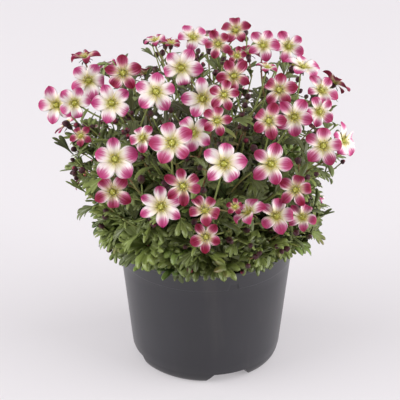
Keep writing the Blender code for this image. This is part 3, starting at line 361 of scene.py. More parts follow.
def sight_line(column, row):
    """The lens and the direction of what it sees at one pixel, with right and up in the picture."""
    ahead = Vector((0.0, math.cos(VIEW_TILT), -math.sin(VIEW_TILT)))
    right = Vector((1.0, 0.0, 0.0))
    above = right.cross(ahead)
    lens = VIEW_POINT - ahead * VIEW_DISTANCE
    line = ahead * VIEW_FOCAL_PIXELS
    line += right * (column - VIEW_MIDDLE_PIXEL) - above * (row - VIEW_MIDDLE_PIXEL)
    return lens, line.normalized(), right, above


LENS, AHEAD, RIGHT, ABOVE = sight_line(VIEW_MIDDLE_PIXEL, VIEW_MIDDLE_PIXEL)


def dome_depth(point):
    """How far a point is outside the head of flowers, as a share of its radius; inside is negative."""
    reach = math.hypot(point.x, point.y)
    if point.z > DOME_WIDEST:
        rise = (point.z - DOME_WIDEST) / (DOME_TOP - DOME_WIDEST)
        return ((reach / DOME_RADIUS) ** DOME_POWER + rise**DOME_POWER) ** (1 / DOME_POWER) - 1
    fall = (DOME_WIDEST - point.z) / (DOME_WIDEST - DOME_FOOT)
    return reach / (DOME_RADIUS - (DOME_RADIUS - DOME_NECK_RADIUS) * fall**1.4) - 1


def dome_point(azimuth, climb):
    """The point of the head of flowers seen from its heart at an azimuth and a climb."""
    away = around(azimuth, math.cos(climb), math.sin(climb))
    near, far = 0.0, 0.25
    for _ in range(30):
        reach = (near + far) / 2
        if dome_depth(HEART + away * reach) < 0:
            near = reach
        else:
            far = reach
    return HEART + away * near, away


def core_radius(height):
    """Radius of the cushion's core at one height."""
    if height > CORE_WIDEST:
        rise = min(1.0, (height - CORE_WIDEST) / (CORE_TOP - CORE_WIDEST))
        return CORE_RADIUS * math.sqrt(1 - rise * rise)
    fall = (CORE_WIDEST - height) / (CORE_WIDEST - CORE_FOOT)
    return CORE_RADIUS - (CORE_RADIUS - CORE_FOOT_RADIUS) * fall * fall


def in_core(point, spare):
    """Whether a point lies inside the core, or closer to it than spare."""
    if point.z < CORE_FOOT - spare or point.z > CORE_TOP + spare:
        return False
    height = min(max(point.z, CORE_FOOT), CORE_TOP)
    return math.hypot(point.x, point.y) < core_radius(height) + spare


# Heights of the core's rings, closer together towards its top
CORE_HEIGHTS = [CORE_FOOT + (CORE_TOP - 2.0 * MM - CORE_FOOT) * (share * 1.25 - 0.25 * share**2)
                for share in (row / CORE_ROWS for row in range(CORE_ROWS + 1))]


def core_corner(row, column):
    """One corner of the core's fields."""
    height = CORE_HEIGHTS[row]
    return around(math.tau * column / CORE_COLUMNS, core_radius(height), height)


def core_field(field):
    """Middle of one field of the core and the direction that it faces."""
    row, column = field
    corners = [core_corner(row + up, column + on) for up, on in ((0, 0), (0, 1), (1, 1), (1, 0))]
    middle = sum(corners, Vector()) / 4
    facing = (corners[2] - corners[0]).cross(corners[3] - corners[1])
    return middle, facing.normalized()


def ring_axes(points):
    """Run, side and other axis at each point of a line, carried along it without twisting."""
    axes = []
    side = square_to((points[1] - points[0]).normalized())
    for number, point in enumerate(points):
        before = points[max(number - 1, 0)]
        after = points[min(number + 1, len(points) - 1)]
        run = (after - before).normalized()
        side = without(side, run).normalized()
        axes.append((run, side, run.cross(side)))
    return axes


def stem_side(stem, stretch, side, share):
    """A point in a stem's axis part way along a stretch, and the direction one of its 3 sides faces."""
    _, first, second = ring_axes(stem)[stretch]
    facing = turned(first, second, math.tau * (side + 0.5) / 3)
    return cut(stem[stretch], stem[stretch + 1], share), facing


def stands_out(along, facing, run):
    """Whether a branch leaves the side of a stem it grows from, and doesn't lean over its neighbours."""
    return along.dot(facing) > max(0.35, 1.6 * abs(along.dot(run.cross(facing))))


class Room:
    """The space that is taken, as small balls, each marked with what it belongs to."""

    CELL = 6 * MM

    def __init__(self):
        self.cells = {}

    def cell(self, point):
        return tuple(int(value // self.CELL) for value in point)

    def add(self, balls, owner):
        for centre, radius in balls:
            self.cells.setdefault(self.cell(centre), []).append((centre, radius, owner))

    def clear(self, balls, own=()):
        """Whether none of these balls meets the pot, the soil or a ball that isn't in own."""
        for centre, radius in balls:
            reach = math.hypot(centre.x, centre.y)
            if centre.z - radius < SOIL_LEVEL + 2 * SOIL_BUMP and reach < LIP_RADIUS:
                return False
            if centre.z - radius < POT_HEIGHT + GAP and reach - radius < LIP_RADIUS + GAP:
                if reach + radius > COLLAR_RADIUS - WALL:
                    return False
            for cell in product(*((place - 1, place, place + 1) for place in self.cell(centre))):
                for other, size, owner in self.cells.get(cell, ()):
                    if owner not in own and (other - centre).length < radius + size + GAP:
                        return False
        return True


def petal_axes(bloom, petal):
    """Directions along one petal and across it, in the bloom's plane."""
    upright = without(bloom.upright, bloom.normal).normalized()
    angle = math.radians(bloom.turn + 360 * petal / bloom.petals)
    along = turned(upright, upright.cross(bloom.normal), angle)
    return along, bloom.normal.cross(along)


def petal_rise(share):
    """Height of a petal over its bloom's plane, as a share of the radius: cupped, its tip bent back."""
    return 0.30 * share - 0.22 * share * share


def bloom_balls(bloom):
    """Balls along the petals of a bloom and at its cup."""
    balls = [(bloom.centre - bloom.normal * 2.5 * MM, CALYX_ROOM)]
    for petal in range(bloom.petals):
        along, across = petal_axes(bloom, petal)
        for share, side in ((0.3, 0), (0.62, 0.17), (0.62, -0.17), (0.9, 0.12), (0.9, -0.12)):
            place = along * share + across * side + bloom.normal * petal_rise(share)
            balls.append((bloom.centre + place * bloom.radius, PETAL_ROOM))
    return balls


def line_balls(points, radius, skip_first=0.0, skip_last=0.0):
    """Balls along a line of points, leaving out some of its length at either end."""
    total = sum((b - a).length for a, b in zip(points, points[1:]))
    balls = []
    passed = 0.0
    for first, second in zip(points, points[1:]):
        length = (second - first).length
        count = max(1, int(length / (2 * MM)))
        for step in range(count + 1):
            at = passed + length * step / count
            if skip_first <= at <= total - skip_last:
                balls.append((cut(first, second, step / count), radius))
        passed += length
    return balls


def leaf_point(leaf, share, side, lift=0.0):
    """A point of an arched leaf: share along it, side as a share of its length, lift in metres."""
    angle = leaf.arch * share
    bow = leaf.arch if abs(leaf.arch) > 0.01 else 0.01
    forward = math.sin(bow * share) / bow * leaf.length
    down = (1 - math.cos(bow * share)) / bow * leaf.length
    across = leaf.face.cross(leaf.along)
    facing = turned(leaf.face, leaf.along, angle)
    trough = facing * abs(side) * leaf.length * 0.25
    middle = leaf.root + leaf.along * forward - leaf.face * down
    return middle + across * side * leaf.length + trough + facing * lift


def leaf_balls(leaf):
    """Balls along a leaf's rib, from its root, and out to the corners of its outline."""
    balls = [(leaf_point(leaf, share, 0), LEAF_ROOM) for share in (0.07, 0.15, 0.25, 0.35, 0.45, LEAF_RIB)]
    ends = [(1.0, 0.0)]
    for share, side in LEAF_HALVES[leaf.lobes]:
        ends += [(share, side), (share, -side)]
    for share, side in ends:
        for part in (0.4, 0.7, 1.0):
            place = leaf_point(leaf, LEAF_RIB + (share - LEAF_RIB) * part, side * part)
            balls.append((place, (1.3 - 0.5 * part) * MM))
    return balls


def seen_bloom(seen, room):
    """A bloom on its line of sight, as near as the head of flowers and its neighbours allow."""
    lens, line, right, above = sight_line(seen.column, seen.row)
    points = [lens + line * (SIGHT_START + step * SIGHT_STEP) for step in range(SIGHT_STEPS)]
    inside = [point for point in points if dome_depth(point) < 0]
    best = inside[0] if inside else min(points, key=dome_depth)
    normal = right * seen.right + above * seen.up
    normal -= line * math.sqrt(max(0.02, 1 - seen.right**2 - seen.up**2))
    for push in range(PUSHES):
        centre = best + line * push * PUSH_STEP
        bloom = Bloom(centre, normal.normalized(), above + line * 0.01, seen.width / 2 * MM,
                      seen.turn, seen.petals, seen.tone)
        if room.clear(bloom_balls(bloom)):
            break
    return bloom


def skyline(column):
    """Row of the photograph that the far blooms stay below."""
    return SKYLINE_ROW + SKYLINE_DROP * ((column - SKYLINE_COLUMN) / SKYLINE_HALF_WIDTH) ** 2


def picture_place(point):
    """Column and row of the photograph where a point shows."""
    line = point - LENS
    scale = VIEW_FOCAL_PIXELS / line.dot(AHEAD)
    return VIEW_MIDDLE_PIXEL + line.dot(RIGHT) * scale, VIEW_MIDDLE_PIXEL - line.dot(ABOVE) * scale


def far_blooms(draw, room, blooms):
    """Blooms on the sides that the photograph doesn't show, spread by the golden angle."""
    found = []
    for number in range(FAR_BLOOMS_TRIED):
        azimuth = number * GOLDEN_ANGLE
        climb = math.asin(FAR_LOWEST + FAR_SPAN * (number + 0.5) / FAR_BLOOMS_TRIED)
        point, away = dome_point(azimuth, climb)
        point += away * draw.uniform(-7, 1) * MM
        normal = away + UP * draw.uniform(-0.1, 0.45) + square_to(away) * draw.uniform(-0.3, 0.3)
        column, row = picture_place(point)
        if away.dot(-AHEAD) > FAR_TOWARD_LENS or row < skyline(column):
            continue
        if any((other.centre - point).length < FAR_SPACING for other in blooms + found):
            continue
        bloom = Bloom(point, normal.normalized(), UP + away * 0.01, draw.choice(FAR_WIDTHS) / 2 * MM,
                      draw.uniform(0, 72), 5, draw.choice(FAR_TONES))
        if room.clear(bloom_balls(bloom)):
            room.add(bloom_balls(bloom), ("bloom", len(blooms) + len(found)))
            found.append(bloom)
    return found


def group_blooms(blooms):
    """Neighbouring blooms gathered into sprays, at most SPRAY_BLOOMS in each."""
    left = sorted(range(len(blooms)), key=lambda index: -(blooms[index].centre - HEART).length)
    groups = []
    while left:
        first = left.pop(0)
        near = sorted(left, key=lambda index: (blooms[index].centre - blooms[first].centre).length)
        mates = [i for i in near[: SPRAY_BLOOMS - 1]
                 if (blooms[i].centre - blooms[first].centre).length < SPRAY_REACH]
        for mate in mates:
            left.remove(mate)
        groups.append([first] + mates)
    return groups


def stem_route(tip, fields, draw, tries):
    """A stem from a free field of the core to a tip, with the field and the direction of its hole."""
    away = (tip - HEART).normalized()
    away += UP * draw.uniform(0.1, 0.4) + square_to(away) * draw.gauss(0, 0.02 * tries)
    target = cut(HEART, tip, 0.45) + UP * draw.uniform(-6, 6) * MM
    ranked = sorted(fields, key=lambda field: (core_field(field)[0] - target).length)
    field = ranked[min(len(ranked) - 1, int(draw.uniform(0, 1 + tries / 12)))]
    mouth, facing = core_field(field)
    drill = (facing * 1.2 + away.normalized()).normalized()
    start = mouth + drill * 1.0 * MM
    reach = (tip - start).length
    middle = cut(start, tip, 0.5) + drill * reach * 0.16
    return [mouth - drill * HOLE_DEPTH] + bend(start, middle, tip, 3), field, drill


def outside_core(balls):
    """Whether all of these balls stay clear of the cushion's core."""
    return not any(in_core(centre, CORE_ROOM) for centre, _ in balls)


def to_bloom(start, heading, bloom):
    """Points of a pedicel from its start to just under the calyx of a bloom, and to the calyx."""
    neck = bloom.centre - bloom.normal * NECK_DROP
    reach = (neck - start).length
    guide = cut(start + heading * reach * 0.4, neck - bloom.normal * min(8 * MM, reach * 0.4), 0.5)
    return bend(start, guide, neck, 2) + [bloom.centre - bloom.normal * CALYX_DROP]


def pedicel_line(stem, pedicel):
    """All the points of a pedicel: the one that goes on from the stem starts at the stem's tip."""
    return [stem[-1]] + pedicel.points if pedicel.place == "tip" else pedicel.points


def spray_lines(group, blooms, fields, draw, room, name):
    """Stem and pedicels of one spray, tried with growing freedom until they are clear of the rest."""
    back = sum((blooms[i].centre - blooms[i].normal * 5 * MM for i in group), Vector()) / len(group)
    for tries in range(SPRAY_TRIES):
        away = (back - HEART).normalized()
        depth = (LONE_FORK_DEPTH if len(group) == 1 else FORK_DEPTH) * draw.uniform(0.6, 1.15)
        fork = back - away * depth + Vector([draw.gauss(0, 0.15 * MM * tries) for _ in range(3)])
        if in_core(fork, FORK_ROOM):
            fork = back - away * depth * 0.4
        stem, field, drill = stem_route(fork, fields, draw, tries)
        balls = line_balls(stem, STEM_ROOM, skip_first=HOLE_DEPTH + 2 * MM)
        if not room.clear(balls, {name}) or not outside_core(balls[2:]):
            continue
        pedicels = []
        free = [0, 1, 2]
        run = ring_axes(stem)[-1][0]
        for number, index in enumerate(group):
            if number == 0:
                place = "tip"
                points = to_bloom(stem[-1], run, blooms[index])[1:]
                line = [stem[-1]] + points
            else:
                aim = (blooms[index].centre - stem[-1]).normalized()
                side = max(free, key=lambda s: stem_side(stem, 3, s, 0.6)[1].dot(aim))
                free.remove(side)
                axis, facing = stem_side(stem, 3, side, 0.7)
                root = axis + facing * BRANCH_START
                place = (3, side)
                points = line = to_bloom(root, (facing + run).normalized(), blooms[index])
                if not stands_out((points[1] - points[0]).normalized(), facing, run):
                    break
            own = {name, ("bloom", index)}
            balls = line_balls(line, PEDICEL_ROOM, skip_last=4 * MM)
            if not room.clear(balls, own) or not outside_core(balls):
                break
            pedicels.append(Pedicel(place, points))
        if len(pedicels) == len(group):
            return Growth(field, stem, drill, pedicels, [blooms[i] for i in group], [], [])
    return None


def try_leaf(draw, room, place, root, facing, heading, name, length, lobes, arch):
    """A leaf turned until it is clear of everything else, or nothing."""
    for tries in range(LEAF_TRIES):
        spread = 0.15 + 0.035 * tries
        along = heading + square_to(heading) * draw.gauss(0, spread) + UP * draw.gauss(0, spread)
        along.normalize()
        if along.dot(facing) < LEAF_LEAVES_AT:
            continue
        face = without(UP + facing * draw.uniform(-0.2, 0.2), along)
        if face.length < LEAF_LIES_AT:
            continue
        leaf = Leaf(place, root, along, face.normalized(), length * draw.uniform(0.9, 1.1), lobes, arch)
        balls = leaf_balls(leaf)
        if outside_core(balls[3:]) and room.clear(balls, {(name, "line")}):
            room.add(balls, name)
            return leaf
    return None


def stem_leaf(draw, room, stem, stretch, side, share, name, length, lobes):
    """A leaf on one side of one stretch of a stem."""
    axis, facing = stem_side(stem, stretch, side, share)
    run = (stem[-1] - stem[1]).normalized()
    heading = (facing + run * 0.6).normalized()
    return try_leaf(draw, room, (stretch, side), axis + facing * LEAF_START, facing, heading, name,
                    length, lobes, draw.uniform(0.2, 0.7))


def dress_spray(spray, draw, room, name):
    """Leaves up the stem and closed buds by the fork."""
    for stretch, share in ((1, 0.7), (2, 0.45)):
        for side in draw.sample((0, 1, 2), 3):
            leaf = stem_leaf(draw, room, spray.stem, stretch, side, share, name, STEM_LEAF,
                             draw.choice((3, 3, 1)))
            if leaf:
                spray.leaves.append(leaf)
                break
    taken = {part.place for part in spray.leaves + spray.pedicels}
    for place in product((3, 2), (0, 1, 2)):
        if place in taken or len(spray.buds) == BUDS_A_SPRAY:
            continue
        axis, facing = stem_side(spray.stem, *place, 0.75)
        root = axis + facing * BRANCH_START
        run = (spray.stem[-1] - spray.stem[-2]).normalized()
        for _ in range(BUD_TRIES):
            aim = run * draw.uniform(0.8, 1.4) + facing + square_to(run) * draw.gauss(0, 0.3)
            aim.normalize()
            tip = root + aim * draw.uniform(*BUD_STALK)
            balls = line_balls([cut(root, tip, 0.35), tip], BUD_ROOM)
            if not stands_out(aim, facing, run):
                continue
            if room.clear(balls, {(name, "line")}) and outside_core(balls):
                room.add(balls, name)
                spray.buds.append(Bud(place, [root, tip], draw.uniform(*BUD_RADIUS)))
                break


def leafy_shoot(number, fields, draw, room):
    """A shoot without flowers: a stem from the core with leaves along it and one at its tip."""
    name = ("shoot", number)
    azimuth = number * GOLDEN_ANGLE + 0.4
    for tries in range(SHOOT_TRIES):
        climb = math.asin(min(0.96, 0.28 + 0.62 * (number * SPREAD_STEP % 1) + draw.gauss(0, 0.003 * tries)))
        point, _ = dome_point(azimuth + draw.gauss(0, 0.012 * tries), climb)
        tip = cut(HEART, point, draw.uniform(0.80, 0.92))
        stem, field, drill = stem_route(tip, fields, draw, tries)
        balls = line_balls(stem, STEM_ROOM, skip_first=HOLE_DEPTH + 2 * MM)
        if not outside_core(balls[2:]) or not room.clear(balls, {name}):
            continue
        taken = Room()
        taken.cells = {cell: list(items) for cell, items in room.cells.items()}
        taken.add(line_balls(stem, STEM_ROOM), (name, "line"))
        run = ring_axes(stem)[-1][0]
        last = try_leaf(draw, taken, "tip", stem[-1] + run * 1.5 * MM, run, run, name, TIP_LEAF, 3, 0.3)
        if last is None:
            continue
        leaves = [last]
        for stretch, side in product((3, 2, 1), (0, 1, 2)):
            share = 0.35 + 0.25 * side
            leaf = stem_leaf(draw, taken, stem, stretch, side, share, name,
                             draw.uniform(*SHOOT_LEAVES), draw.choice((3, 5, 3)))
            if leaf and len(leaves) < SHOOT_LEAVES_MOST:
                leaves.append(leaf)
        if len(leaves) >= SHOOT_LEAVES_LEAST:
            room.cells = taken.cells
            return Growth(field, stem, drill, [], [], leaves, [])
    return None


def cushion_leaves(fields, draw, room):
    """Leaves on the free fields of the core; the low ones hang over the pot's rim."""
    leaves = []
    low_first = sorted(draw.sample(fields, len(fields)), key=lambda field: field[0] > 2)
    for field in low_first:
        if len(leaves) == CUSHION_LEAVES:
            break
        middle, facing = core_field(field)
        level = field[0] / CORE_ROWS
        heading = (facing + UP * (0.35 + 0.8 * level)).normalized()
        length = draw.uniform(*CUSHION_LEAF)
        arch = draw.uniform(0.6, 1.2) if level < 0.3 else draw.uniform(0.1, 0.6)
        leaf = try_leaf(draw, room, field, middle + facing * 1.0 * MM, facing, heading, "cushion",
                        length, draw.choice((5, 3, 5)), arch)
        if leaf:
            leaves.append(leaf)
    return leaves


def plan_plant():
    """Everything that grows: the sprays, the leafy shoots, and the cushion's leaves."""
    draw = random.Random(SEED)
    room = Room()
    blooms = []
    for seen in BLOOMS_SEEN:
        bloom = seen_bloom(seen, room)
        room.add(bloom_balls(bloom), ("bloom", len(blooms)))
        blooms.append(bloom)
    blooms += far_blooms(draw, room, blooms)
    fields = list(product(range(CORE_ROWS), range(CORE_COLUMNS)))
    sprays = []
    groups = group_blooms(blooms)
    while groups:
        group = groups.pop(0)
        name = ("spray", len(sprays))
        spray = spray_lines(group, blooms, fields, draw, room, name)
        if spray is None:
            if len(group) > 1:
                groups += [group[:1], group[1:]]
            continue
        fields.remove(spray.field)
        room.add(line_balls(spray.stem, STEM_ROOM), (name, "line"))
        for pedicel in spray.pedicels:
            room.add(line_balls(pedicel_line(spray.stem, pedicel), PEDICEL_ROOM), (name, "pedicel"))
        sprays.append(spray)
    for index, spray in enumerate(sprays):
        dress_spray(spray, draw, room, ("spray", index))
    shoots = []
    for number in range(SHOOTS * 2):
        shoot = leafy_shoot(number, fields, draw, room) if len(shoots) < SHOOTS else None
        if shoot:
            shoots.append(shoot)
            fields.remove(shoot.field)
    return sprays, shoots, cushion_leaves(fields, draw, room)


def linear(red, green, blue):
    """A colour as Blender counts it, from the usual 0 to 255 values."""
    return tuple((value / 255 / 12.92) if value < 11 else ((value / 255 + 0.055) / 1.055) ** 2.4
                 for value in (red, green, blue))


def colour_setting(name, description, value):
    """A property that holds a colour."""
    return bpy.props.FloatVectorProperty(name=name, description=description, subtype="COLOR", size=3,
                                         min=0.0, max=1.0, default=linear(*value))


def number_setting(name, description, value, kind=bpy.props.FloatProperty, **more):
    """A property that holds a number."""
    return kind(name=name, description=description, default=value, min=0, **more)


def length_setting(name, description, value):
    """A property that holds a length in metres."""
    return number_setting(name, description, value, subtype="DISTANCE", unit="LENGTH", precision=5)


def count_setting(name, description, value):
    """A property that holds a whole number."""
    return number_setting(name, description, value, bpy.props.IntProperty)


class PotSettings(bpy.types.PropertyGroup):
    sides: count_setting("Sides", "Faces round the pot", 144)
    soil_sides: count_setting("Peat sides", "Faces round the peat", 96)
    crumbs: count_setting("Crumbs", "Loose crumbs on the peat", 520)
    crumb: length_setting("Crumb", "Radius of the largest crumbs", 1.6 * MM)
    plastic: colour_setting("Plastic", "Colour of the moulded plastic", (26, 26, 32))
    peat: colour_setting("Peat", "Colour of the moist peat", (52, 38, 30))


class PlantSettings(bpy.types.PropertyGroup):
    petal: length_setting("Petal thickness", "Thickness of a petal at its middle", 0.22 * MM)
    blade: length_setting("Leaf thickness", "Thickness of a leaf at its middle", 0.35 * MM)
    stem: length_setting("Stem radius", "Radius of a flowering stem at its foot", 0.70 * MM)
    pedicel: length_setting("Pedicel radius", "Radius of the stalk of one bloom", 0.48 * MM)
    tufts: count_setting("Tufts", "Leaf tufts round the cushion", 110)
    fillers: count_setting("Fillers", "Leafy stems inside the head", 165)
    cream: colour_setting("Cream", "Middle of a petal", (254, 246, 243))
    blush: colour_setting("Blush", "Where a petal's white turns to pink", (206, 116, 158))
    rose: colour_setting("Rose", "Tip of a pale petal", (176, 52, 110))
    crimson: colour_setting("Crimson", "Tip of a deep petal", (140, 12, 44))
    throat: colour_setting("Throat", "Foot of a petal", (190, 184, 68))
    leaf_light: colour_setting("Light leaf", "The palest green of a leaf", (138, 160, 76))
    leaf_dark: colour_setting("Dark leaf", "The deepest green of a leaf", (56, 78, 34))
    stem_green: colour_setting("Green stem", "A stem where it is green", (128, 140, 74))
    stem_red: colour_setting("Red stem", "A stem where it is flushed", (124, 74, 56))
    maroon: colour_setting("Bud", "Colour of a closed bud", (74, 22, 34))


class StageSettings(bpy.types.PropertyGroup):
    floor: length_setting("Floor", "Radius of the floor", 25.0)
    floor_colour: colour_setting("Floor colour", "Colour of the floor", (236, 232, 235))
    key: number_setting("Key", "Power of the soft light from above", 6.5, unit="POWER")
    sides: number_setting("Sides", "Power of each light at the side", 330.0, unit="POWER")
    sky: number_setting("Sky", "Strength of the light from all round", 0.42)
    glow: number_setting("Glow", "Strength of the light in the floor itself", 0.40)


class Sheet:
    """A flat outline cut into faces, from which thin closed blades are bent.

    Each spot has its share along and to the side of the blade, its place in the blade's map, how
    far out it is on a lobe, and whether it lies on a rib.
    """

    def __init__(self):
        self.spots = []
        self.faces = []

    def spot(self, along, side, across, reach=0.0, rib=0.0):
        self.spots.append((along, side, across, reach, rib))
        return len(self.spots) - 1

    def close(self):
        """Doubles the faces into an upper and a lower skin that meet at the rim."""
        used = Counter(frozenset(edge) for face in self.faces for edge in zip(face, face[1:] + face[:1]))
        rim = {spot for edge, count in used.items() if count == 1 for spot in edge}
        inner = [spot for spot in range(len(self.spots)) if spot not in rim]
        below = {spot: len(self.spots) + number for number, spot in enumerate(inner)}
        upper = [0.0 if spot in rim else 1.0 for spot in range(len(self.spots))]
        self.layer = np.array(upper + [-1.0] * len(inner))
        spots = np.array(self.spots + [self.spots[spot] for spot in inner])
        self.along, self.side, self.across, self.reach, self.rib = spots.T
        lower = [tuple(below.get(corner, corner) for corner in face[::-1]) for face in self.faces]
        faces = self.faces + lower
        self.corners = np.concatenate(faces)
        self.sizes = np.array([len(face) for face in faces])
        self.under = np.repeat((0.0, 1.0), len(self.faces))
        return self


# A leaf's lobes: the corners of its palm from one side to the other, and the tips of its lobes,
# each as a share of its length along it and to its side
LEAF_PALMS = {
    1: (((0.30, -0.08), (0.30, 0.08)), ((1.0, 0.0),)),
    3: (((0.40, -0.155), (0.71, -0.085), (0.71, 0.085), (0.40, 0.155)),
        ((0.83, -0.28), (1.0, 0.0), (0.83, 0.28))),
    5: (((0.34, -0.13), (0.56, -0.195), (0.74, -0.080), (0.74, 0.080), (0.56, 0.195), (0.34, 0.13)),
        ((0.63, -0.31), (0.88, -0.23), (1.0, 0.0), (0.88, 0.23), (0.63, 0.31))),
}
LOBE_WIDTHS = ((0.3, 1.04), (0.6, 0.95), (0.85, 0.66))
LONE_LOBE_WIDTHS = ((0.22, 1.30), (0.48, 1.50), (0.74, 1.20), (0.92, 0.62))
STALK_ROWS = ((0.0, 0.032), (0.13, 0.030), (0.26, 0.062))


def leaf_sheet(lobes):
    """The flat outline of a leaf: a stalk that widens to a palm, and its lobes."""
    sheet = Sheet()
    corners, tips = LEAF_PALMS[lobes]
    stalk = STALK_ROWS[:2] if lobes == 1 else STALK_ROWS
    rows = [[sheet.spot(along, half * (number / lobes - 1), number % 2 * 0.5, rib=number % 2)
             for number in range(2 * lobes + 1)] for along, half in stalk]
    palm = [sheet.spot(*corners[0], 0.0)]
    for first, second in zip(corners, corners[1:]):
        middle = (first[0] + second[0]) / 2 + 0.01, (first[1] + second[1]) / 2
        palm += [sheet.spot(*middle, 0.5, rib=1.0), sheet.spot(*second, 0.0)]
    rows.append(palm)
    for low, high in zip(rows, rows[1:]):
        sheet.faces += zip(low, low[1:], high[1:], high)
    for number, tip in enumerate(np.array(tips)):
        left, middle, right = palm[2 * number:2 * number + 3]
        start, foot, end = (np.array(sheet.spots[spot][:2]) for spot in (left, middle, right))
        run = (tip - foot) / np.linalg.norm(tip - foot)
        cross = np.array((-run[1], run[0]))
        half = abs((start - end) @ cross) / 2
        for share, width in LONE_LOBE_WIDTHS if lobes == 1 else LOBE_WIDTHS:
            at = foot + (tip - foot) * share
            sides = [at + cross * half * width, at - cross * half * width]
            sides.sort(key=lambda place: np.linalg.norm(place - sheet.spots[left][:2]))
            after = (sheet.spot(*sides[0], 0.0, share), sheet.spot(*at, 0.5, share, 1.0),
                     sheet.spot(*sides[1], 0.0, share))
            sheet.faces += [(left, middle, after[1], after[0]), (middle, right, after[2], after[1])]
            left, middle, right = after
        point = sheet.spot(*tip, 0.5, 1.0, 1.0)
        sheet.faces += [(left, middle, point), (middle, right, point)]
    return sheet.close()


def petal_width(share, point):
    """Half the width of a petal at a share of its length, as a share of its greatest half width."""
    if share < PETAL_MIDDLE:
        return 0.08 + 0.92 * math.sin(math.pi / 2 * share / PETAL_MIDDLE) ** 0.95
    return max(0.0, 1 - ((share - PETAL_MIDDLE) / (1 - PETAL_MIDDLE)) ** 1.9) ** point


def petal_sheet(point):
    """The flat outline of a petal, narrow at its foot and more or less pointed at its tip."""
    sheet = Sheet()
    rows = []
    for row in range(PETAL_ROWS):
        share = 0.08 + 0.92 * math.sin(math.pi / 2 * row / PETAL_ROWS) ** 1.1
        width = petal_width(share, point)
        rows.append([sheet.spot(share, width * (2 * column / PETAL_COLUMNS - 1), column / PETAL_COLUMNS)
                     for column in range(PETAL_COLUMNS + 1)])
    for low, high in zip(rows, rows[1:]):
        sheet.faces += zip(low, low[1:], high[1:], high)
    sheet.faces += zip(high, high[1:], [sheet.spot(1.0, 0.0, 0.5)] * PETAL_COLUMNS)
    return sheet.close()


SHEETS = {lobes: leaf_sheet(lobes) for lobes in LEAF_PALMS}
PETAL_SHEETS = {point: petal_sheet(point) for point in PETAL_POINTS}


def place_new(name, data):
    """A new object in the scene."""
    made = bpy.data.objects.new(name, data)
    bpy.context.scene.collection.objects.link(made)
    return made


class Piece:
    """The mesh of one piece, gathered part by part."""

    def __init__(self):
        self.parts = []
        self.count = 0

    def add(self, points, corners, sizes, places, skin, depth=0.5, chance=0.5, under=0.0):
        """Adds a part: its points, its faces, their places in the blade's map, and its finish."""
        every = np.ones(len(sizes))
        self.parts.append((points, corners + self.count, sizes, places[corners], every * skin, every * depth,
                           every * chance, every * under))
        self.count += len(points)

    def make(self, name, materials):
        """The piece as a mesh object, smooth, with only the materials it uses."""
        points, corners, sizes, places, skins, *values = (np.concatenate(part) for part in zip(*self.parts))
        used = np.unique(skins).astype(int).tolist()
        mesh = bpy.data.meshes.new(name)
        mesh.vertices.add(self.count)
        mesh.vertices.foreach_set("co", points.astype(np.float32).ravel())
        mesh.loops.add(len(corners))
        mesh.polygons.add(len(sizes))
        for skin in used:
            mesh.materials.append(materials[skin])
        for word, numbers in (("loop_start", np.cumsum(sizes) - sizes), ("vertices", corners),
                              ("material_index", np.searchsorted(used, skins))):
            mesh.polygons.foreach_set(word, numbers.astype(np.int32))
        mesh.polygons.foreach_set("use_smooth", np.ones(len(sizes), bool))
        blade = mesh.uv_layers.new(name="Blade")
        blade.uv.foreach_set("vector", places.astype(np.float32).ravel())
        for word, numbers in zip(FACE_VALUES, values):
            mesh.attributes.new(word, "FLOAT", "FACE").data.foreach_set("value", numbers.astype(np.float32))
        mesh.update(calc_edges=True)
        if mesh.validate():
            raise RuntimeError(f"the mesh of {name} isn't sound")
        return place_new(name, mesh)


def finish_piece(piece, slot, *nodes):
    """Says what a piece rides on and which nodes it stands for, and hides those nodes; slot is not used."""
    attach(piece, "root")
    if nodes:
        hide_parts(*nodes)


def smooth_line(points, steps):
    """Points of a smooth curve through all of these, steps for each stretch."""
    line = []
    last = len(points) - 1
    for number in range(last):
        a, b = points[max(number - 1, 0)], points[number]
        c, d = points[number + 1], points[min(number + 2, last)]
        for step in range(steps):
            t = step / steps
            line.append(0.5 * (2 * b + (c - a) * t + (2 * a - 5 * b + 4 * c - d) * t * t
                               + (3 * b - a - 3 * c + d) * t * t * t))
    line.append(points[-1].copy())
    return line


def add_rings(piece, rings, ends, skin, depth=0.5, chance=0.5):
    """A closed skin over rings of points, and the middle of its foot and of its head."""
    count, sides = len(rings), len(rings[0])
    low = np.arange(sides)
    high = (low + 1) % sides
    ring = sides * np.arange(count - 1)[:, None]
    last = sides * (count - 1)
    quads = np.stack((ring + low, ring + high, ring + sides + high, ring + sides + low), axis=2)
    foot = np.stack((high, low, np.full(sides, count * sides)), axis=1)
    head = np.stack((last + low, last + high, np.full(sides, count * sides + 1)), axis=1)
    corners = np.concatenate((quads.ravel(), foot.ravel(), head.ravel()))
    along = np.repeat(np.arange(count) / (count - 1), sides)
    places = np.stack((np.tile(np.abs(2 * low / sides - 1), count), along), axis=1)
    piece.add(np.concatenate((*rings, ends)), corners, np.repeat((4, 3), (last, 2 * sides)),
              np.concatenate((places, [[0.5, 0.0], [0.5, 1.0]])), skin, depth, chance)


def add_tube(piece, points, radii, skin, sides=6, depth=0.5, chance=0.5, ridges=0.0):
    """A closed tube along a line, with rounded ends where its radii close."""
    angles = np.arange(sides) * math.tau / sides
    swell = 1 + ridges * np.cos(angles * 5)
    rings = []
    for point, radius, (_, side, other) in zip(points, radii, ring_axes(points)):
        ring = np.outer(np.cos(angles) * swell, side) + np.outer(np.sin(angles) * swell, other)
        rings.append(np.array(point) + ring * radius)
    add_rings(piece, rings, np.array([points[0], points[-1]]), skin, depth, chance)


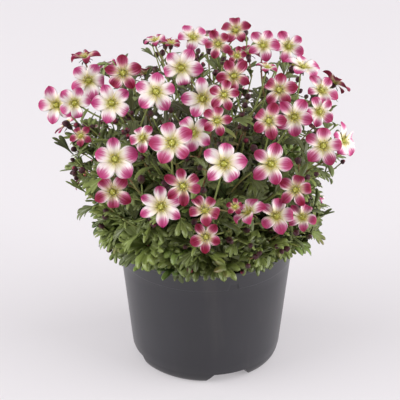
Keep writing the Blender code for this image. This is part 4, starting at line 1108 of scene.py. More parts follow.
def add_ball(piece, centre, axis, radius, length, skin, sides=6, rows=5, depth=0.5, chance=0.5, ridges=0.0):
    """An egg of a given radius and length along an axis."""
    shares = [(1 - math.cos(math.pi * (row + 0.35) / (rows - 0.3))) / 2 for row in range(rows)]
    points = [centre + axis * length * (share - 0.5) for share in shares]
    radii = [radius * 2 * math.sqrt(max(0.0, share * (1 - share))) for share in shares]
    add_tube(piece, points, radii, skin, sides, depth, chance, ridges)


def shade_inside(leaf):
    """How deep in the head a leaf is, from 0 at its surface to 1 at its heart, which sets the painted shade
    of its colour.
    """
    inside = -dome_depth(leaf_point(leaf, 0.6, 0.0))
    return 0.27 + 0.73 * min(1.0, max(0.0, inside))


def add_leaf(piece, leaf, draw, thickness, skin=LEAF_SKIN, depth=0.2):
    """A thin leaf bent along its arch, with hollow lobes that curl at their tips."""
    sheet = SHEETS[leaf.lobes]
    curl = draw.uniform(-0.05, 0.16)
    bow = leaf.arch if abs(leaf.arch) > 0.01 else 0.01
    angle = bow * sheet.along
    along, face = np.array(leaf.along), np.array(leaf.face)
    cross = np.cross(face, along)
    forward = np.sin(angle) / bow * leaf.length
    down = (1 - np.cos(angle)) / bow * leaf.length
    facing = np.outer(np.cos(angle), face) + np.outer(np.sin(angle), along)
    twist = draw.uniform(-0.12, 0.12)
    rise = np.abs(sheet.side) * 0.25 - sheet.rib * 0.016 * (1 - 0.6 * sheet.reach)
    rise += sheet.side * sheet.along * twist * 2 - curl * sheet.reach ** 2
    spots = np.array(leaf.root) + np.outer(forward, along) - np.outer(down, face)
    spots += np.outer(sheet.side * leaf.length, cross)
    spots += facing * (rise * leaf.length + sheet.layer * thickness / 2)[:, None]
    places = np.stack((sheet.across, sheet.along), axis=1)
    piece.add(spots, sheet.corners, sheet.sizes, places, skin, depth, draw.random(), sheet.under)


def add_petal(piece, bloom, number, depth, draw, thickness):
    """One petal: cupped at its foot, grooved along its middle, one side over its neighbour, tip bent back."""
    point = draw.choice(PETAL_POINTS)
    sheet = PETAL_SHEETS[point]
    along, across = petal_axes(bloom, number)
    lean = draw.gauss(0, 0.07)
    along, across = along + across * lean, across - along * lean
    size = bloom.radius * draw.uniform(0.94, 1.08)
    half = PETAL_FULLNESS[bloom.tone] * 5 / bloom.petals * draw.uniform(0.86, 1.10)
    width = np.array([petal_width(share, point) for share in sheet.along])
    across_share = np.where(width > 0.01, sheet.side / np.maximum(width, 0.01), 0.0)
    strong = draw.random() < 0.25
    curl = draw.uniform(1.1, 2.2) if strong else draw.uniform(0.15, 0.8)
    start = draw.uniform(0.56, 0.68) if strong else draw.uniform(0.50, 0.72)
    past = np.maximum(sheet.along - start, 0.0)
    bend_rate = curl / (1 - start)
    reach = np.minimum(sheet.along, start) + np.sin(bend_rate * past) / bend_rate
    drop = (1 - np.cos(bend_rate * past)) / bend_rate
    rise = 0.30 * sheet.along - 0.14 * sheet.along ** 2 - drop
    cup = draw.uniform(0.02, 0.20)
    rise += cup * across_share ** 2 * np.sin(math.pi * np.minimum(sheet.along, 1.0))
    rise -= 0.022 * np.exp(-(across_share / 0.22) ** 2) * np.minimum(1, sheet.along * 2)
    rise += sheet.side * half * draw.uniform(0.10, 0.24)
    rise += 0.030 * np.sin(across_share * 4 + draw.uniform(0, 6)) * sheet.along
    spots = np.array(bloom.centre) + np.outer(reach * size, along)
    spots += np.outer(sheet.side * half * size, across)
    spots += np.outer(rise * size + sheet.layer * thickness / 2, bloom.normal)
    places = np.stack((sheet.across, sheet.along), axis=1)
    piece.add(spots, sheet.corners, sheet.sizes, places, PETAL_SKIN, depth, draw.random(), sheet.under)


def add_eye(piece, bloom, draw):
    """The ovary with its two styles, and the stamens round it."""
    scale = bloom.radius / USUAL_BLOOM * 0.45 + 0.55
    normal, base = bloom.normal, bloom.centre
    side = square_to(normal)
    other = normal.cross(side)
    ovary = [base + normal * height * MM * scale for height in OVARY_HEIGHTS]
    radii = [EYE_RADIUS * scale * share for share in OVARY_WIDTHS]
    add_tube(piece, ovary, radii, EYE_SKIN, sides=10, depth=0.35, chance=draw.random())
    turn = draw.uniform(0, math.pi)
    for style in range(2):
        away = turned(side, other, turn + math.pi * style)
        foot = base + normal * 1.5 * MM * scale + away * 0.45 * MM * scale
        head = foot + (normal * 1.4 + away * 0.9) * MM * scale
        line = bend(foot, foot + normal * 1.1 * MM * scale, head, 3)
        add_tube(piece, line, [radius * MM * scale for radius in STYLE_RADII], EYE_SKIN, sides=5, depth=0.75,
                 chance=draw.random())
    for stamen in range(STAMENS):
        away = turned(side, other, turn + math.tau * (stamen + draw.uniform(-0.2, 0.2)) / STAMENS)
        reach = draw.uniform(2.4, 3.4) * MM * scale
        foot = base + away * 1.5 * MM * scale + normal * 0.2 * MM
        tip = base + away * reach + normal * draw.uniform(1.6, 2.6) * MM * scale
        add_tube(piece, [foot, cut(foot, tip, 0.55) + normal * 0.2 * MM, tip], FILAMENT_RADII, EYE_SKIN,
                 sides=3, depth=0.6, chance=0.8)
        if draw.random() < ANTHERS:
            add_ball(piece, tip + normal * 0.2 * MM, away.cross(normal).normalized(), 0.36 * MM * scale,
                     0.95 * MM * scale, EYE_SKIN, sides=5, rows=4, depth=1.0, chance=draw.random())


def add_calyx(piece, bloom, draw, settings):
    """The cup under a bloom and its five sepals."""
    normal = bloom.normal
    scale = bloom.radius / USUAL_BLOOM * 0.4 + 0.6
    cup = [bloom.centre - normal * drop * MM * scale for drop in CUP_DROPS]
    radii = [radius * MM * scale for radius in CUP_RADII]
    add_tube(piece, cup, radii, BUD_SKIN, sides=10, depth=0.25, chance=draw.random(), ridges=0.05)
    for sepal in range(bloom.petals):
        along, _ = petal_axes(bloom, sepal + 0.5)
        root = bloom.centre - normal * 1.1 * MM * scale + along * 1.5 * MM * scale
        heading = (along - normal * draw.uniform(0.0, 0.35)).normalized()
        face = without((normal + along * 0.1).normalized(), heading).normalized()
        leaf = Leaf(None, root, heading, face, draw.uniform(3.6, 4.6) * MM * scale, 1, 0.4)
        add_leaf(piece, leaf, draw, settings.blade, BUD_SKIN)


def add_bloom(piece, bloom, draw, settings):
    """One open flower."""
    depth = PETAL_DEPTHS[bloom.tone] + draw.uniform(-0.05, 0.05)
    for petal in range(bloom.petals):
        add_petal(piece, bloom, petal, depth, draw, settings.petal)
    add_eye(piece, bloom, draw)
    add_calyx(piece, bloom, draw, settings)


def add_bud(piece, root, tip, size, draw, settings):
    """A closed bud: its stalk, its ribbed cup and the petals folded at its tip."""
    run = (tip - root).normalized()
    length = size * draw.uniform(2.3, 2.8)
    foot = tip - run * length
    middle = cut(root, foot, 0.5) + square_to(run) * draw.uniform(-0.6, 0.6) * MM
    stalk = smooth_line([root, middle, foot], 2)
    add_tube(piece, stalk, [settings.pedicel * 0.9] * len(stalk), STEM_SKIN, 5, chance=draw.random())
    chance = draw.random()
    points = [foot + run * length * share for share in BUD_SHARES]
    add_tube(piece, points, [size * width for width in BUD_WIDTHS], BUD_SKIN, 10, 0.6, chance, ridges=0.13)


def add_stem(piece, points, first, last, draw, sides=6, steps=4):
    """A round stem through a few points, thinner towards its tip."""
    line = smooth_line(points, steps)
    radii = [first + (last - first) * number / (len(line) - 1) for number in range(len(line))]
    add_tube(piece, line, radii, STEM_SKIN, sides, chance=draw.random())
    return line


def glandular_hairs(piece, line, radius, draw):
    """Short hairs that stand out all round a stem."""
    for first, second in zip(line, line[1:]):
        run = second - first
        side = square_to(run.normalized())
        other = run.normalized().cross(side)
        for _ in range(max(1, int(run.length / HAIR_SPACING))):
            away = turned(side, other, draw.uniform(0, math.tau))
            root = cut(first, second, draw.random()) + away * radius * 0.8
            way = away + run.normalized() * draw.uniform(-0.3, 0.3)
            tip = root + way * HAIR_LENGTH * draw.uniform(0.6, 1.2)
            add_tube(piece, [root, tip], HAIR_RADII, STEM_SKIN, 3, chance=0.1)


def dress_growth(piece, growth, draw, ground, settings):
    """The stem, pedicels, blooms, leaves and buds of one of the frame's growths, and a few leaves more."""
    stem = growth.stem
    line = add_stem(piece, stem, settings.stem, settings.stem * 0.82, draw)
    glandular_hairs(piece, line[4:], settings.stem * 0.9, draw)
    for pedicel, bloom in zip(growth.pedicels, growth.blooms):
        points = pedicel_line(stem, pedicel)
        thin = add_stem(piece, points, settings.pedicel * 1.15, settings.pedicel, draw, 6, 3)
        glandular_hairs(piece, thin, settings.pedicel, draw)
        add_bloom(piece, bloom, draw, settings)
    for leaf in growth.leaves + leafy_line(draw, ground, line, BRACT_COUNT, BRACTS, (1, 1, 3)):
        add_leaf(piece, leaf, draw, settings.blade, depth=shade_inside(leaf))
    for bud in growth.buds:
        add_bud(piece, bud.points[0], bud.points[1], bud.size, draw, settings)


# The plant's edge in the photograph: at some rows its left and right column, and under the foliage
# at some columns its lowest row
EDGE_ROWS = ((30, 150, 290), (55, 100, 322), (80, 56, 335), (107, 50, 346), (150, 60, 354), (175, 56, 338),
             (200, 72, 331), (222, 82, 322), (240, 93, 312), (262, 100, 292), (290, 130, 285))
EDGE_FEET = ((90, 262), (122, 268), (150, 274), (185, 285), (215, 281), (240, 279), (265, 271), (290, 259),
             (320, 250))


def between(table, at, word):
    """A value read from a table of places, straight between its rows."""
    for before, after in zip(table, table[1:]):
        if at <= after[0] or after is table[-1]:
            share = min(1.0, max(0.0, (at - before[0]) / (after[0] - before[0])))
            return before[word] + (after[word] - before[word]) * share


def past_edge(point, back=0.0):
    """Whether a point lies outside the plant as the photograph shows it, or less than back above its foot."""
    column, row = picture_place(point)
    if not between(EDGE_ROWS, row, 1) < column < between(EDGE_ROWS, row, 2):
        return True
    return point.y < 0 and row > between(EDGE_FEET, column, 1) - back


class Open:
    """Where foliage may grow without running through a flower or hiding one from the lens."""

    def __init__(self, growths):
        self.room = Room()
        self.seen = []
        for bloom in [bloom for growth in growths for bloom in growth.blooms]:
            self.room.add(bloom_balls(bloom), "bloom")
            if bloom.normal.dot(LENS - bloom.centre) > 0:
                size = bloom.radius * VIEW_FOCAL_PIXELS / VIEW_DISTANCE
                self.seen.append((*picture_place(bloom.centre), size, (bloom.centre - LENS).length))

    def hides(self, point, share):
        """Whether a point lies in front of a flower, as the lens sees it."""
        column, row = picture_place(point)
        reach = (point - LENS).length
        return any(reach < depth + 2 * MM and math.hypot(column - x, row - y) < size * share
                   for x, y, size, depth in self.seen)

    def takes(self, balls, share=0.85, back=0.0):
        """Whether balls are free of flowers and of the plant's edge, and stay back from its foot."""
        if any(self.hides(centre, share) or past_edge(centre, back) for centre, _ in balls):
            return False
        return self.room.clear(balls)

    def takes_leaf(self, leaf, back=0.0):
        balls = leaf_balls(leaf)
        return self.takes(balls[2:], back=back) and self.room.clear(balls[:2])

    def takes_line(self, points, radius):
        return self.takes([(point, radius) for point in points], 0.6)


def loose_leaf(draw, root, heading, face, lengths, kinds, arches):
    """A leaf that grows from a root along a heading, or nothing where its face would lie along it."""
    face = without(face, heading)
    if face.length < LOOSE_LEAF_LIES_AT:
        return None
    return Leaf(None, root, heading, face.normalized(), draw.uniform(*lengths), draw.choice(kinds),
                draw.uniform(*arches))


def leafy_line(draw, ground, line, number, lengths, kinds):
    """Leaves up a stem by the golden angle, from LEAFLESS of it to its tip."""
    leaves = []
    turn = draw.uniform(0, math.tau)
    axes = ring_axes(line)
    for leaf_number in range(number):
        share = LEAFLESS + (1 - LEAFLESS) * (leaf_number + 0.5) / number
        at = min(len(line) - 2, int(share * (len(line) - 1)))
        run, side, other = axes[at]
        root = cut(line[at], line[at + 1], share * (len(line) - 1) - at)
        for _ in range(LOOSE_LEAF_TRIES):
            away = turned(side, other, turn + leaf_number * GOLDEN_ANGLE + draw.gauss(0, 0.3))
            heading = (away + run * draw.uniform(0.5, 1.3)).normalized()
            start = root + away * 0.4 * MM
            leaf = loose_leaf(draw, start, heading, UP + run * 0.5, lengths, kinds, (0.0, 0.9))
            if leaf and ground.takes_leaf(leaf):
                leaves.append(leaf)
                break
    return leaves


def filler_stem(piece, draw, ground, number, settings):
    """One more leafy stem inside the head, with buds at its tip where there is room."""
    azimuth = number * GOLDEN_ANGLE + draw.gauss(0, 0.1)
    climb = math.asin(FILLER_LOWEST + FILLER_SPAN * (number * FILLER_STEP % 1))
    point, away = dome_point(azimuth, climb)
    tip = cut(HEART, point, draw.uniform(*FILLER_REACH))
    root = cut(HEART, tip, 0.30)
    middle = cut(root, tip, 0.5) + UP * (tip - root).length * 0.10 + square_to(away) * draw.gauss(0, 4) * MM
    line = bend(root, middle, tip, 8)
    while len(line) > 4 and not ground.takes_line(line[3:], 0.9 * MM):
        line.pop()
    if len(line) <= 4:
        return
    thin = settings.stem * 0.85
    add_tube(piece, line, [thin * (1 - 0.04 * step) for step in range(len(line))], STEM_SKIN, 5,
             chance=draw.random())
    for leaf in leafy_line(draw, ground, line, draw.randint(7, 11), FILLER_LEAVES, (1, 1, 3, 3, 5)):
        add_leaf(piece, leaf, draw, settings.blade, depth=shade_inside(leaf))
    for _ in range(draw.choice((0, 1, 2, 3))):
        run = (line[-1] - line[-2]).normalized()
        aim = (run + square_to(run) * draw.gauss(0, 0.5) + UP * draw.gauss(0.2, 0.4)).normalized()
        start = line[-1] - run * 1.0 * MM
        end = start + aim * draw.uniform(7, 13) * MM
        if ground.takes_line([cut(start, end, 0.5), end], BUD_ROOM):
            add_bud(piece, start, end, draw.uniform(1.3, 1.9) * MM, draw, settings)


def leaf_tuft(piece, draw, ground, number, settings):
    """A rosette of lobed leaves on a short shoot at the side of the cushion."""
    azimuth = number * GOLDEN_ANGLE + draw.gauss(0, 0.1)
    level = number * SPREAD_STEP % 1
    height = TUFT_HEIGHTS[0] + (TUFT_HEIGHTS[1] - TUFT_HEIGHTS[0]) * level
    reach = draw.uniform(*TUFT_RADII) * (1 - 0.25 * level)
    top = number % CROWN_STEP == 0
    if top:
        reach, height = draw.uniform(2, 36) * MM, CORE_TOP + draw.uniform(-2, 5) * MM
    crown = around(azimuth, reach, height)
    if height < POT_HEIGHT + 4 * MM and reach > COLLAR_RADIUS - 6 * MM:
        crown.z = POT_HEIGHT + draw.uniform(4, 9) * MM
    # Painted shade: tufts low down, and those on top of the cushion, get a higher depth, which darkens and
    # browns their leaves.
    low = min(1.0, max(0.0, (POT_HEIGHT + 22 * MM - crown.z) / (14 * MM)))
    shade = 0.4 if top else 0.2 + 0.32 * low
    out = (crown - HEART).normalized()
    axis = (out + UP * draw.uniform(-0.1, 0.6)).normalized()
    foot = cut(HEART, crown, 0.45)
    line = bend(foot, cut(foot, crown, 0.6) - UP * 2 * MM, crown, 5)
    add_tube(piece, line, [settings.stem * 0.8] * len(line), STEM_SKIN, 5, chance=draw.random())
    side = square_to(axis)
    other = axis.cross(side)
    leaves = draw.randint(6, 9)
    for leaf_number in range(leaves):
        spread = 0.35 + 1.1 * leaf_number / leaves
        away = turned(side, other, leaf_number * GOLDEN_ANGLE)
        root = crown - axis * 2.5 * MM * (1 - leaf_number / leaves) + away * 0.5 * MM
        for _ in range(TUFT_LEAF_TRIES):
            heading = (axis + away * spread * draw.uniform(0.8, 1.2)).normalized()
            face = axis - away * 0.2 + UP * 0.3
            leaf = loose_leaf(draw, root, heading, face, TUFT_LEAVES, (3, 5, 5), (0.1, 1.0))
            if leaf is None or not clear_of_pot(leaf):
                continue
            if ground.takes_leaf(leaf, 0.0 if leaf.arch > DROOPING else FRINGE_BACK):
                add_leaf(piece, leaf, draw, settings.blade, depth=shade)
                break


def clear_of_pot(leaf):
    """Whether a leaf stays above the rim, or outside the pot where it hangs over it."""
    for share, side in product((0.25, 0.5, 0.75, 1.0), (-0.2, 0.2)):
        point = leaf_point(leaf, share, side)
        reach = math.hypot(point.x, point.y)
        if point.z < POT_HEIGHT + 1 * MM and COLLAR_RADIUS - 3 * MM < reach < LIP_RADIUS + 0.5 * MM:
            return False
        if point.z < SOIL_LEVEL + 1 * MM and reach < LIP_RADIUS:
            return False
        if reach > TUFT_REACH or point.z < TUFT_LOWEST:
            return False
    return True


def mound_point(azimuth, share):
    """A point of the leafy mound under the foliage, from its foot to its crown."""
    height = CORE_FOOT + (CORE_TOP - CORE_FOOT) * math.sin(share * math.pi / 2)
    rough = noise.noise(around(azimuth, 4, share * 6)) * 2.0 * MM
    rough += noise.noise(around(azimuth, 16, share * 22)) * 1.2 * MM
    return around(azimuth, max(0.0, core_radius(height) - 2.5 * MM + rough), height)


def make_shade_mound(piece):
    """The dark inside of the cushion: old stems and leaves pressed together, with the shade among them
    painted into their colour.
    """
    rings = [np.array([mound_point(math.tau * side / MOUND_SIDES, MOUND_HEAD * row / (MOUND_ROWS - 1))
                       for side in range(MOUND_SIDES)]) for row in range(MOUND_ROWS)]
    ends = np.array([(0, 0, CORE_FOOT), (0, 0, rings[-1][-1][2] + 0.4 * MM)])
    add_rings(piece, rings, ends, THATCH_SKIN)


def section_line(*rows):
    """Points of a section, from rows of a radius, a height, and millimetres out and up from there."""
    return [Vector((radius + out * MM, 0, height + up * MM)) for radius, height, out, up in rows]


def pot_section():
    """The pot's section from its axis, out along the underside, up the wall and down inside."""
    rim = LIP_RADIUS, POT_HEIGHT
    band, ring = COLLAR_RADIUS + COLLAR_STEP, NOTCH_INNER_RADIUS - WALL
    heel = bend(*section_line((BASE_RADIUS, 0, 0, 0), (BASE_RADIUS, 0, 5.4, 0.2),
                              (CORNER_RADIUS, 0, -1.0, 7)), 6)
    heel += section_line((CORNER_RADIUS, 0, -0.9, 8.2), (CORNER_RADIUS, 0, -0.6, 8.4))
    foot, head = section_line((CORNER_RADIUS, CORNER_HEIGHT, 0, 0), (COLLAR_RADIUS, COLLAR_FOOT, 0, 0))
    wall = [cut(foot, head, step / WALL_STEPS) for step in range(WALL_STEPS + 1)]
    collar = section_line((COLLAR_RADIUS, COLLAR_FOOT, 0.12, 0.08), (band, COLLAR_FOOT, -0.1, 0.45),
                          (band, COLLAR_FOOT, 0.05, 1.0))
    lip = bend(*section_line((*rim, -1.1, -3.0), (*rim, 0.1, -2.4), (*rim, 0, -0.9)), 3)
    lip += bend(*section_line((*rim, -0.1, -0.2), (*rim, -0.8, 0.1), (*rim, -1.7, -0.4)), 3)
    inside = section_line((*rim, -2.6, -3.4), (COLLAR_RADIUS - WALL, COLLAR_FOOT, -0.2, -1.0),
                          (CORNER_RADIUS - WALL, CORNER_HEIGHT, 0, 0), (CORNER_RADIUS, NOTCH_ROOF, -2.4, 0),
                          (ring, NOTCH_ROOF, 0, 0), (ring, FLOOR, -1, 0), (SECTION_START, FLOOR, 0, 0))
    return section_line((SECTION_START, 0, 0, 0)) + heel + wall + collar + lip + inside


def add_solid(name, shape):
    """An object from a shape that is done, with its faces turned outward."""
    bmesh.ops.recalc_face_normals(shape, faces=shape.faces)
    mesh = bpy.data.meshes.new(name)
    shape.to_mesh(mesh)
    shape.free()
    return place_new(name, mesh)


def turned_mesh(name, section, sides, low_axis, high_axis):
    """A closed mesh turned about the Z axis from a section that starts and ends near the axis."""
    shape = bmesh.new()
    rings = [[shape.verts.new(around(math.tau * side / sides, spot.x, spot.z)) for side in range(sides)]
             for spot in section]
    ends = shape.verts.new((0, 0, low_axis)), shape.verts.new((0, 0, high_axis))
    for side in range(sides):
        after = (side + 1) % sides
        for low, high in zip(rings, rings[1:]):
            shape.faces.new((low[side], low[after], high[after], high[side]))
        shape.faces.new((ends[0], rings[0][after], rings[0][side]))
        shape.faces.new((ends[1], rings[-1][side], rings[-1][after]))
    return add_solid(name, shape)


def ring_block(inner, outer, low, high, middle, arc, taper, steps=10):
    """A closed block between two radii and two heights, over an arc about the Z axis that tapers upwards."""
    shape = bmesh.new()
    sections = [[shape.verts.new(around(middle + arc * share * (step / steps - 0.5), radius, height))
                 for radius, height, share in ((inner, low, 1), (outer, low, 1), (outer, high, taper),
                                               (inner, high, taper))]
                for step in range(steps + 1)]
    for before, after in zip(sections, sections[1:]):
        for corner in range(4):
            following = (corner + 1) % 4
            shape.faces.new((before[corner], before[following], after[following]))
            shape.faces.new((before[corner], after[following], after[corner]))
    shape.faces.new(sections[0][::-1])
    shape.faces.new(sections[-1])
    return add_solid("cutter", shape)


def apply_modifiers(body):
    """Makes a piece's evaluated mesh its own."""
    mesh = bpy.data.meshes.new_from_object(body.evaluated_get(bpy.context.evaluated_depsgraph_get()))
    body.modifiers.clear()
    old = body.data
    body.data = mesh
    bpy.data.meshes.remove(old)


def make_pot(settings):
    """The moulded pot with its collar, lip, drainage notches and catch recess."""
    pot = turned_mesh("pot_shell", pot_section(), settings.sides, 0.0, FLOOR)
    cutters = [ring_block(NOTCH_INNER_RADIUS, LIP_RADIUS, -1 * MM, NOTCH_HEIGHT,
                          NOTCH_AZIMUTH + math.tau * number / NOTCHES, NOTCH_ARC, NOTCH_TAPER)
               for number in range(NOTCHES)]
    cutters.append(ring_block(COLLAR_RADIUS + 0.10 * MM, LIP_RADIUS, COLLAR_FOOT - 1 * MM,
                              COLLAR_FOOT + CATCH_HEIGHT, CATCH_AZIMUTH, CATCH_WIDTH / COLLAR_RADIUS,
                              CATCH_TAPER))
    for cutter in cutters:
        change = pot.modifiers.new("cut", "BOOLEAN")
        change.operation = "DIFFERENCE"
        change.object = cutter
    apply_modifiers(pot)
    for cutter in cutters:
        bpy.data.objects.remove(cutter)
    soften = pot.modifiers.new("soften", "BEVEL")
    soften.width = EDGE_WIDTH
    soften.segments = 2
    soften.limit_method = "ANGLE"
    soften.angle_limit = SOFTENED_FROM
    apply_modifiers(pot)
    pot.data.shade_smooth()
    pot.data.set_sharp_from_angle(angle=SHARP_FROM)
    return pot


def soil_height(x, y):
    """Height of the peat's surface over its level, lumpy and crumbly."""
    spot = Vector((x, y, 0))
    lumps = noise.noise(spot / (9 * MM)) * 0.9 + noise.noise(spot / (3.5 * MM)) * 0.6
    return (lumps + noise.noise(spot / (1.3 * MM)) * 0.35) * MM


def make_peat(settings, draw):
    """The body of peat in the pot, lumpy on top, with loose crumbs."""
    slope = (COLLAR_RADIUS - CORNER_RADIUS) / (COLLAR_FOOT - CORNER_HEIGHT)
    edge = COLLAR_RADIUS - WALL - 2 * MM * slope - 2 * GAP
    ring, floor, roof = NOTCH_INNER_RADIUS - WALL, FLOOR + GAP, NOTCH_ROOF + GAP
    section = section_line((SECTION_START, floor, 0, 0), (ring, floor, -1.8, 0), (ring, roof, -0.8, 0),
                           (CORNER_RADIUS, roof, -3.4, 0), (CORNER_RADIUS - WALL, CORNER_HEIGHT, -1.2, 0),
                           (edge, COLLAR_FOOT, 0, -2), (edge, SOIL_LEVEL, 0.8, -3.6))
    section += [Vector((edge + 1.2 * MM - row * (edge - 4 * MM) / SOIL_ROWS, 0, SOIL_LEVEL))
                for row in range(SOIL_ROWS)]
    peat = turned_mesh("peat_fill", section, settings.soil_sides, FLOOR + GAP, SOIL_LEVEL)
    for vertex in peat.data.vertices:
        if vertex.co.z > SOIL_LEVEL - 0.1 * MM:
            vertex.co.z += soil_height(vertex.co.x, vertex.co.y)
    peat.data.shade_smooth()
    crumbs = Piece()
    for _ in range(settings.crumbs):
        angle = draw.uniform(0, math.tau)
        centre = around(angle, edge - 1.5 * MM - draw.random() ** 1.5 * CRUMB_BAND, 0.0)
        size = settings.crumb * draw.uniform(0.25, 1.0) ** 1.5
        centre.z = SOIL_LEVEL + soil_height(centre.x, centre.y) + size * 0.35
        axis = Vector((draw.gauss(0, 1), draw.gauss(0, 1), draw.gauss(0, 1))).normalized()
        add_ball(crumbs, centre, axis, size * draw.uniform(0.6, 0.9), size * 2, THATCH_SKIN, 6, 4,
                 chance=draw.random(), ridges=draw.uniform(0.0, 0.2))
    return peat, crumbs


class Level:
    """A number or colour that changes over a surface. Arithmetic with it adds Math nodes."""

    def __init__(self, graph, socket):
        self.graph, self.socket = graph, socket

    def __add__(self, other):
        return self.graph.math("ADD", self, other)

    def __sub__(self, other):
        return self.graph.math("SUBTRACT", self, other)

    def __rsub__(self, other):
        return self.graph.math("SUBTRACT", other, self)

    def __mul__(self, other):
        return self.graph.math("MULTIPLY", self, other)

    def __truediv__(self, other):
        return self.graph.math("DIVIDE", self, other)

    def step(self, low, high):
        """0 below low, 1 above high, and a smooth step between them."""
        return self.graph.add("ShaderNodeMapRange", {"Value": self, "From Min": low, "From Max": high},
                              interpolation_type="SMOOTHSTEP")

    def toward(self, colour, share):
        """This colour mixed with another, by the other's share."""
        return self.graph.mix(share, self, colour)


class Graph:
    """A short way to add and link the nodes of one tree."""

    def __init__(self, tree):
        self.tree = tree

    def feed(self, place, value):
        """Links a level to an input, or sets the input to a plain value."""
        if isinstance(value, Level):
            self.tree.links.new(value.socket, place)
        else:
            place.default_value = value

    def add(self, kind, inputs=None, output=0, **settings):
        made = self.tree.nodes.new(kind)
        for word, value in settings.items():
            setattr(made, word, value)
        for place, value in (inputs or {}).items():
            self.feed(made.inputs[place], value)
        return Level(self, made.outputs[output])

    def math(self, operation, first, second):
        return self.add("ShaderNodeMath", {0: first, 1: second}, operation=operation)

    def mix(self, share, first, second):
        """A mix of two colours, each a level or three numbers."""
        first, second = (value if isinstance(value, Level) else (*value, 1.0) for value in (first, second))
        return self.add("ShaderNodeMix", {0: share, 6: first, 7: second}, 2, data_type="RGBA")

    def noise(self, place, scale, detail=2.0, distortion=0.0):
        return self.add("ShaderNodeTexNoise", {"Vector": place, "Scale": scale, "Detail": detail,
                                               "Distortion": distortion})

    def face_value(self, word):
        """A number that each face of the mesh keeps."""
        return self.add("ShaderNodeAttribute", output=2, attribute_name=word)

    def face_values(self):
        """All the numbers that each face of the mesh keeps: its depth, its chance and its underside mark."""
        return [self.face_value(word) for word in FACE_VALUES]

    def place(self):
        """Where a point of the surface is, in metres."""
        return self.add("ShaderNodeTexCoord", output=3)

    def vector(self, x, y, z):
        return self.add("ShaderNodeCombineXYZ", {0: x, 1: y, 2: z})

    def split(self, vector):
        made = self.tree.nodes.new("ShaderNodeSeparateXYZ")
        self.feed(made.inputs[0], vector)
        return [Level(self, socket) for socket in made.outputs]


def new_group(name, inputs, outputs, fill):
    """A node group with named number sockets: fill gives its outputs from its graph and inputs."""
    group = bpy.data.node_groups.new(name, "ShaderNodeTree")
    for word, value in inputs:
        socket = group.interface.new_socket(name=word, in_out="INPUT", socket_type="NodeSocketFloat")
        socket.default_value = value
    for word in outputs:
        group.interface.new_socket(name=word, in_out="OUTPUT", socket_type="NodeSocketFloat")
    graph = Graph(group)
    given = group.nodes.new("NodeGroupInput").outputs
    end = group.nodes.new("NodeGroupOutput")
    for word, level in zip(outputs, fill(graph, *(Level(graph, given[word]) for word, _ in inputs))):
        graph.feed(end.inputs[word], level)
    return group


def mottle(graph, patch_scale, grain_scale):
    """Soft uneven patches over a surface, and fine grain on top."""
    place = graph.place()
    return graph.noise(place, patch_scale, 3.0).step(0.30, 0.70), graph.noise(place, grain_scale)


def blade_veins(graph, streaks, stretch):
    """Along a blade: its share from foot to tip, its rib, its margin and fine streaks that fan out."""
    across, along, _ = graph.split(graph.add("ShaderNodeUVMap", uv_map="Blade"))
    side = graph.math("ABSOLUTE", across - 0.5, 0.0) * 2.0
    place = graph.vector(across * streaks, along * stretch, graph.face_value("chance") * 40.0)
    return along, side, 1.0 - side.step(0.04, 0.30), side.step(0.80, 1.0), graph.noise(place, 1.0, 2.0, 0.3)


def shared_groups():
    """The node groups that the materials share, made once."""
    groups = bpy.data.node_groups
    return (groups.get("Mottle") or new_group("Mottle", (("Patch Scale", 200.0), ("Grain Scale", 1500.0)),
                                              ("Patches", "Grain"), mottle),
            groups.get("Blade Veins") or new_group("Blade Veins", (("Streaks", 16.0), ("Stretch", 1.4)),
                                                   ("Along", "Side", "Rib", "Margin", "Streak"), blade_veins))


def use_group(graph, group, *values):
    """Places a group in a material's graph, with its values, and returns its outputs."""
    made = graph.tree.nodes.new("ShaderNodeGroup")
    made.node_tree = group
    for socket, value in zip(made.inputs, values):
        socket.default_value = value
    return [Level(graph, socket) for socket in made.outputs]


def new_material(name, roughness, specular, *group_values):
    """A material, its graph and its shader's inputs, then all that the groups it has values for put out."""
    made = bpy.data.materials.new(name)
    made.use_nodes = True
    graph = Graph(made.node_tree)
    shader = made.node_tree.nodes["Principled BSDF"].inputs
    shader["Roughness"].default_value = roughness
    shader["Specular IOR Level"].default_value = specular
    found = [made, graph, shader]
    for group, values in zip(shared_groups(), group_values):
        found += use_group(graph, group, *values)
    return found


def set_bump(graph, shader, height, strength, distance):
    """Raises the surface by a height, through a Bump node."""
    graph.feed(shader["Normal"], graph.add("ShaderNodeBump", {"Height": height, "Strength": strength,
                                                              "Distance": distance}))


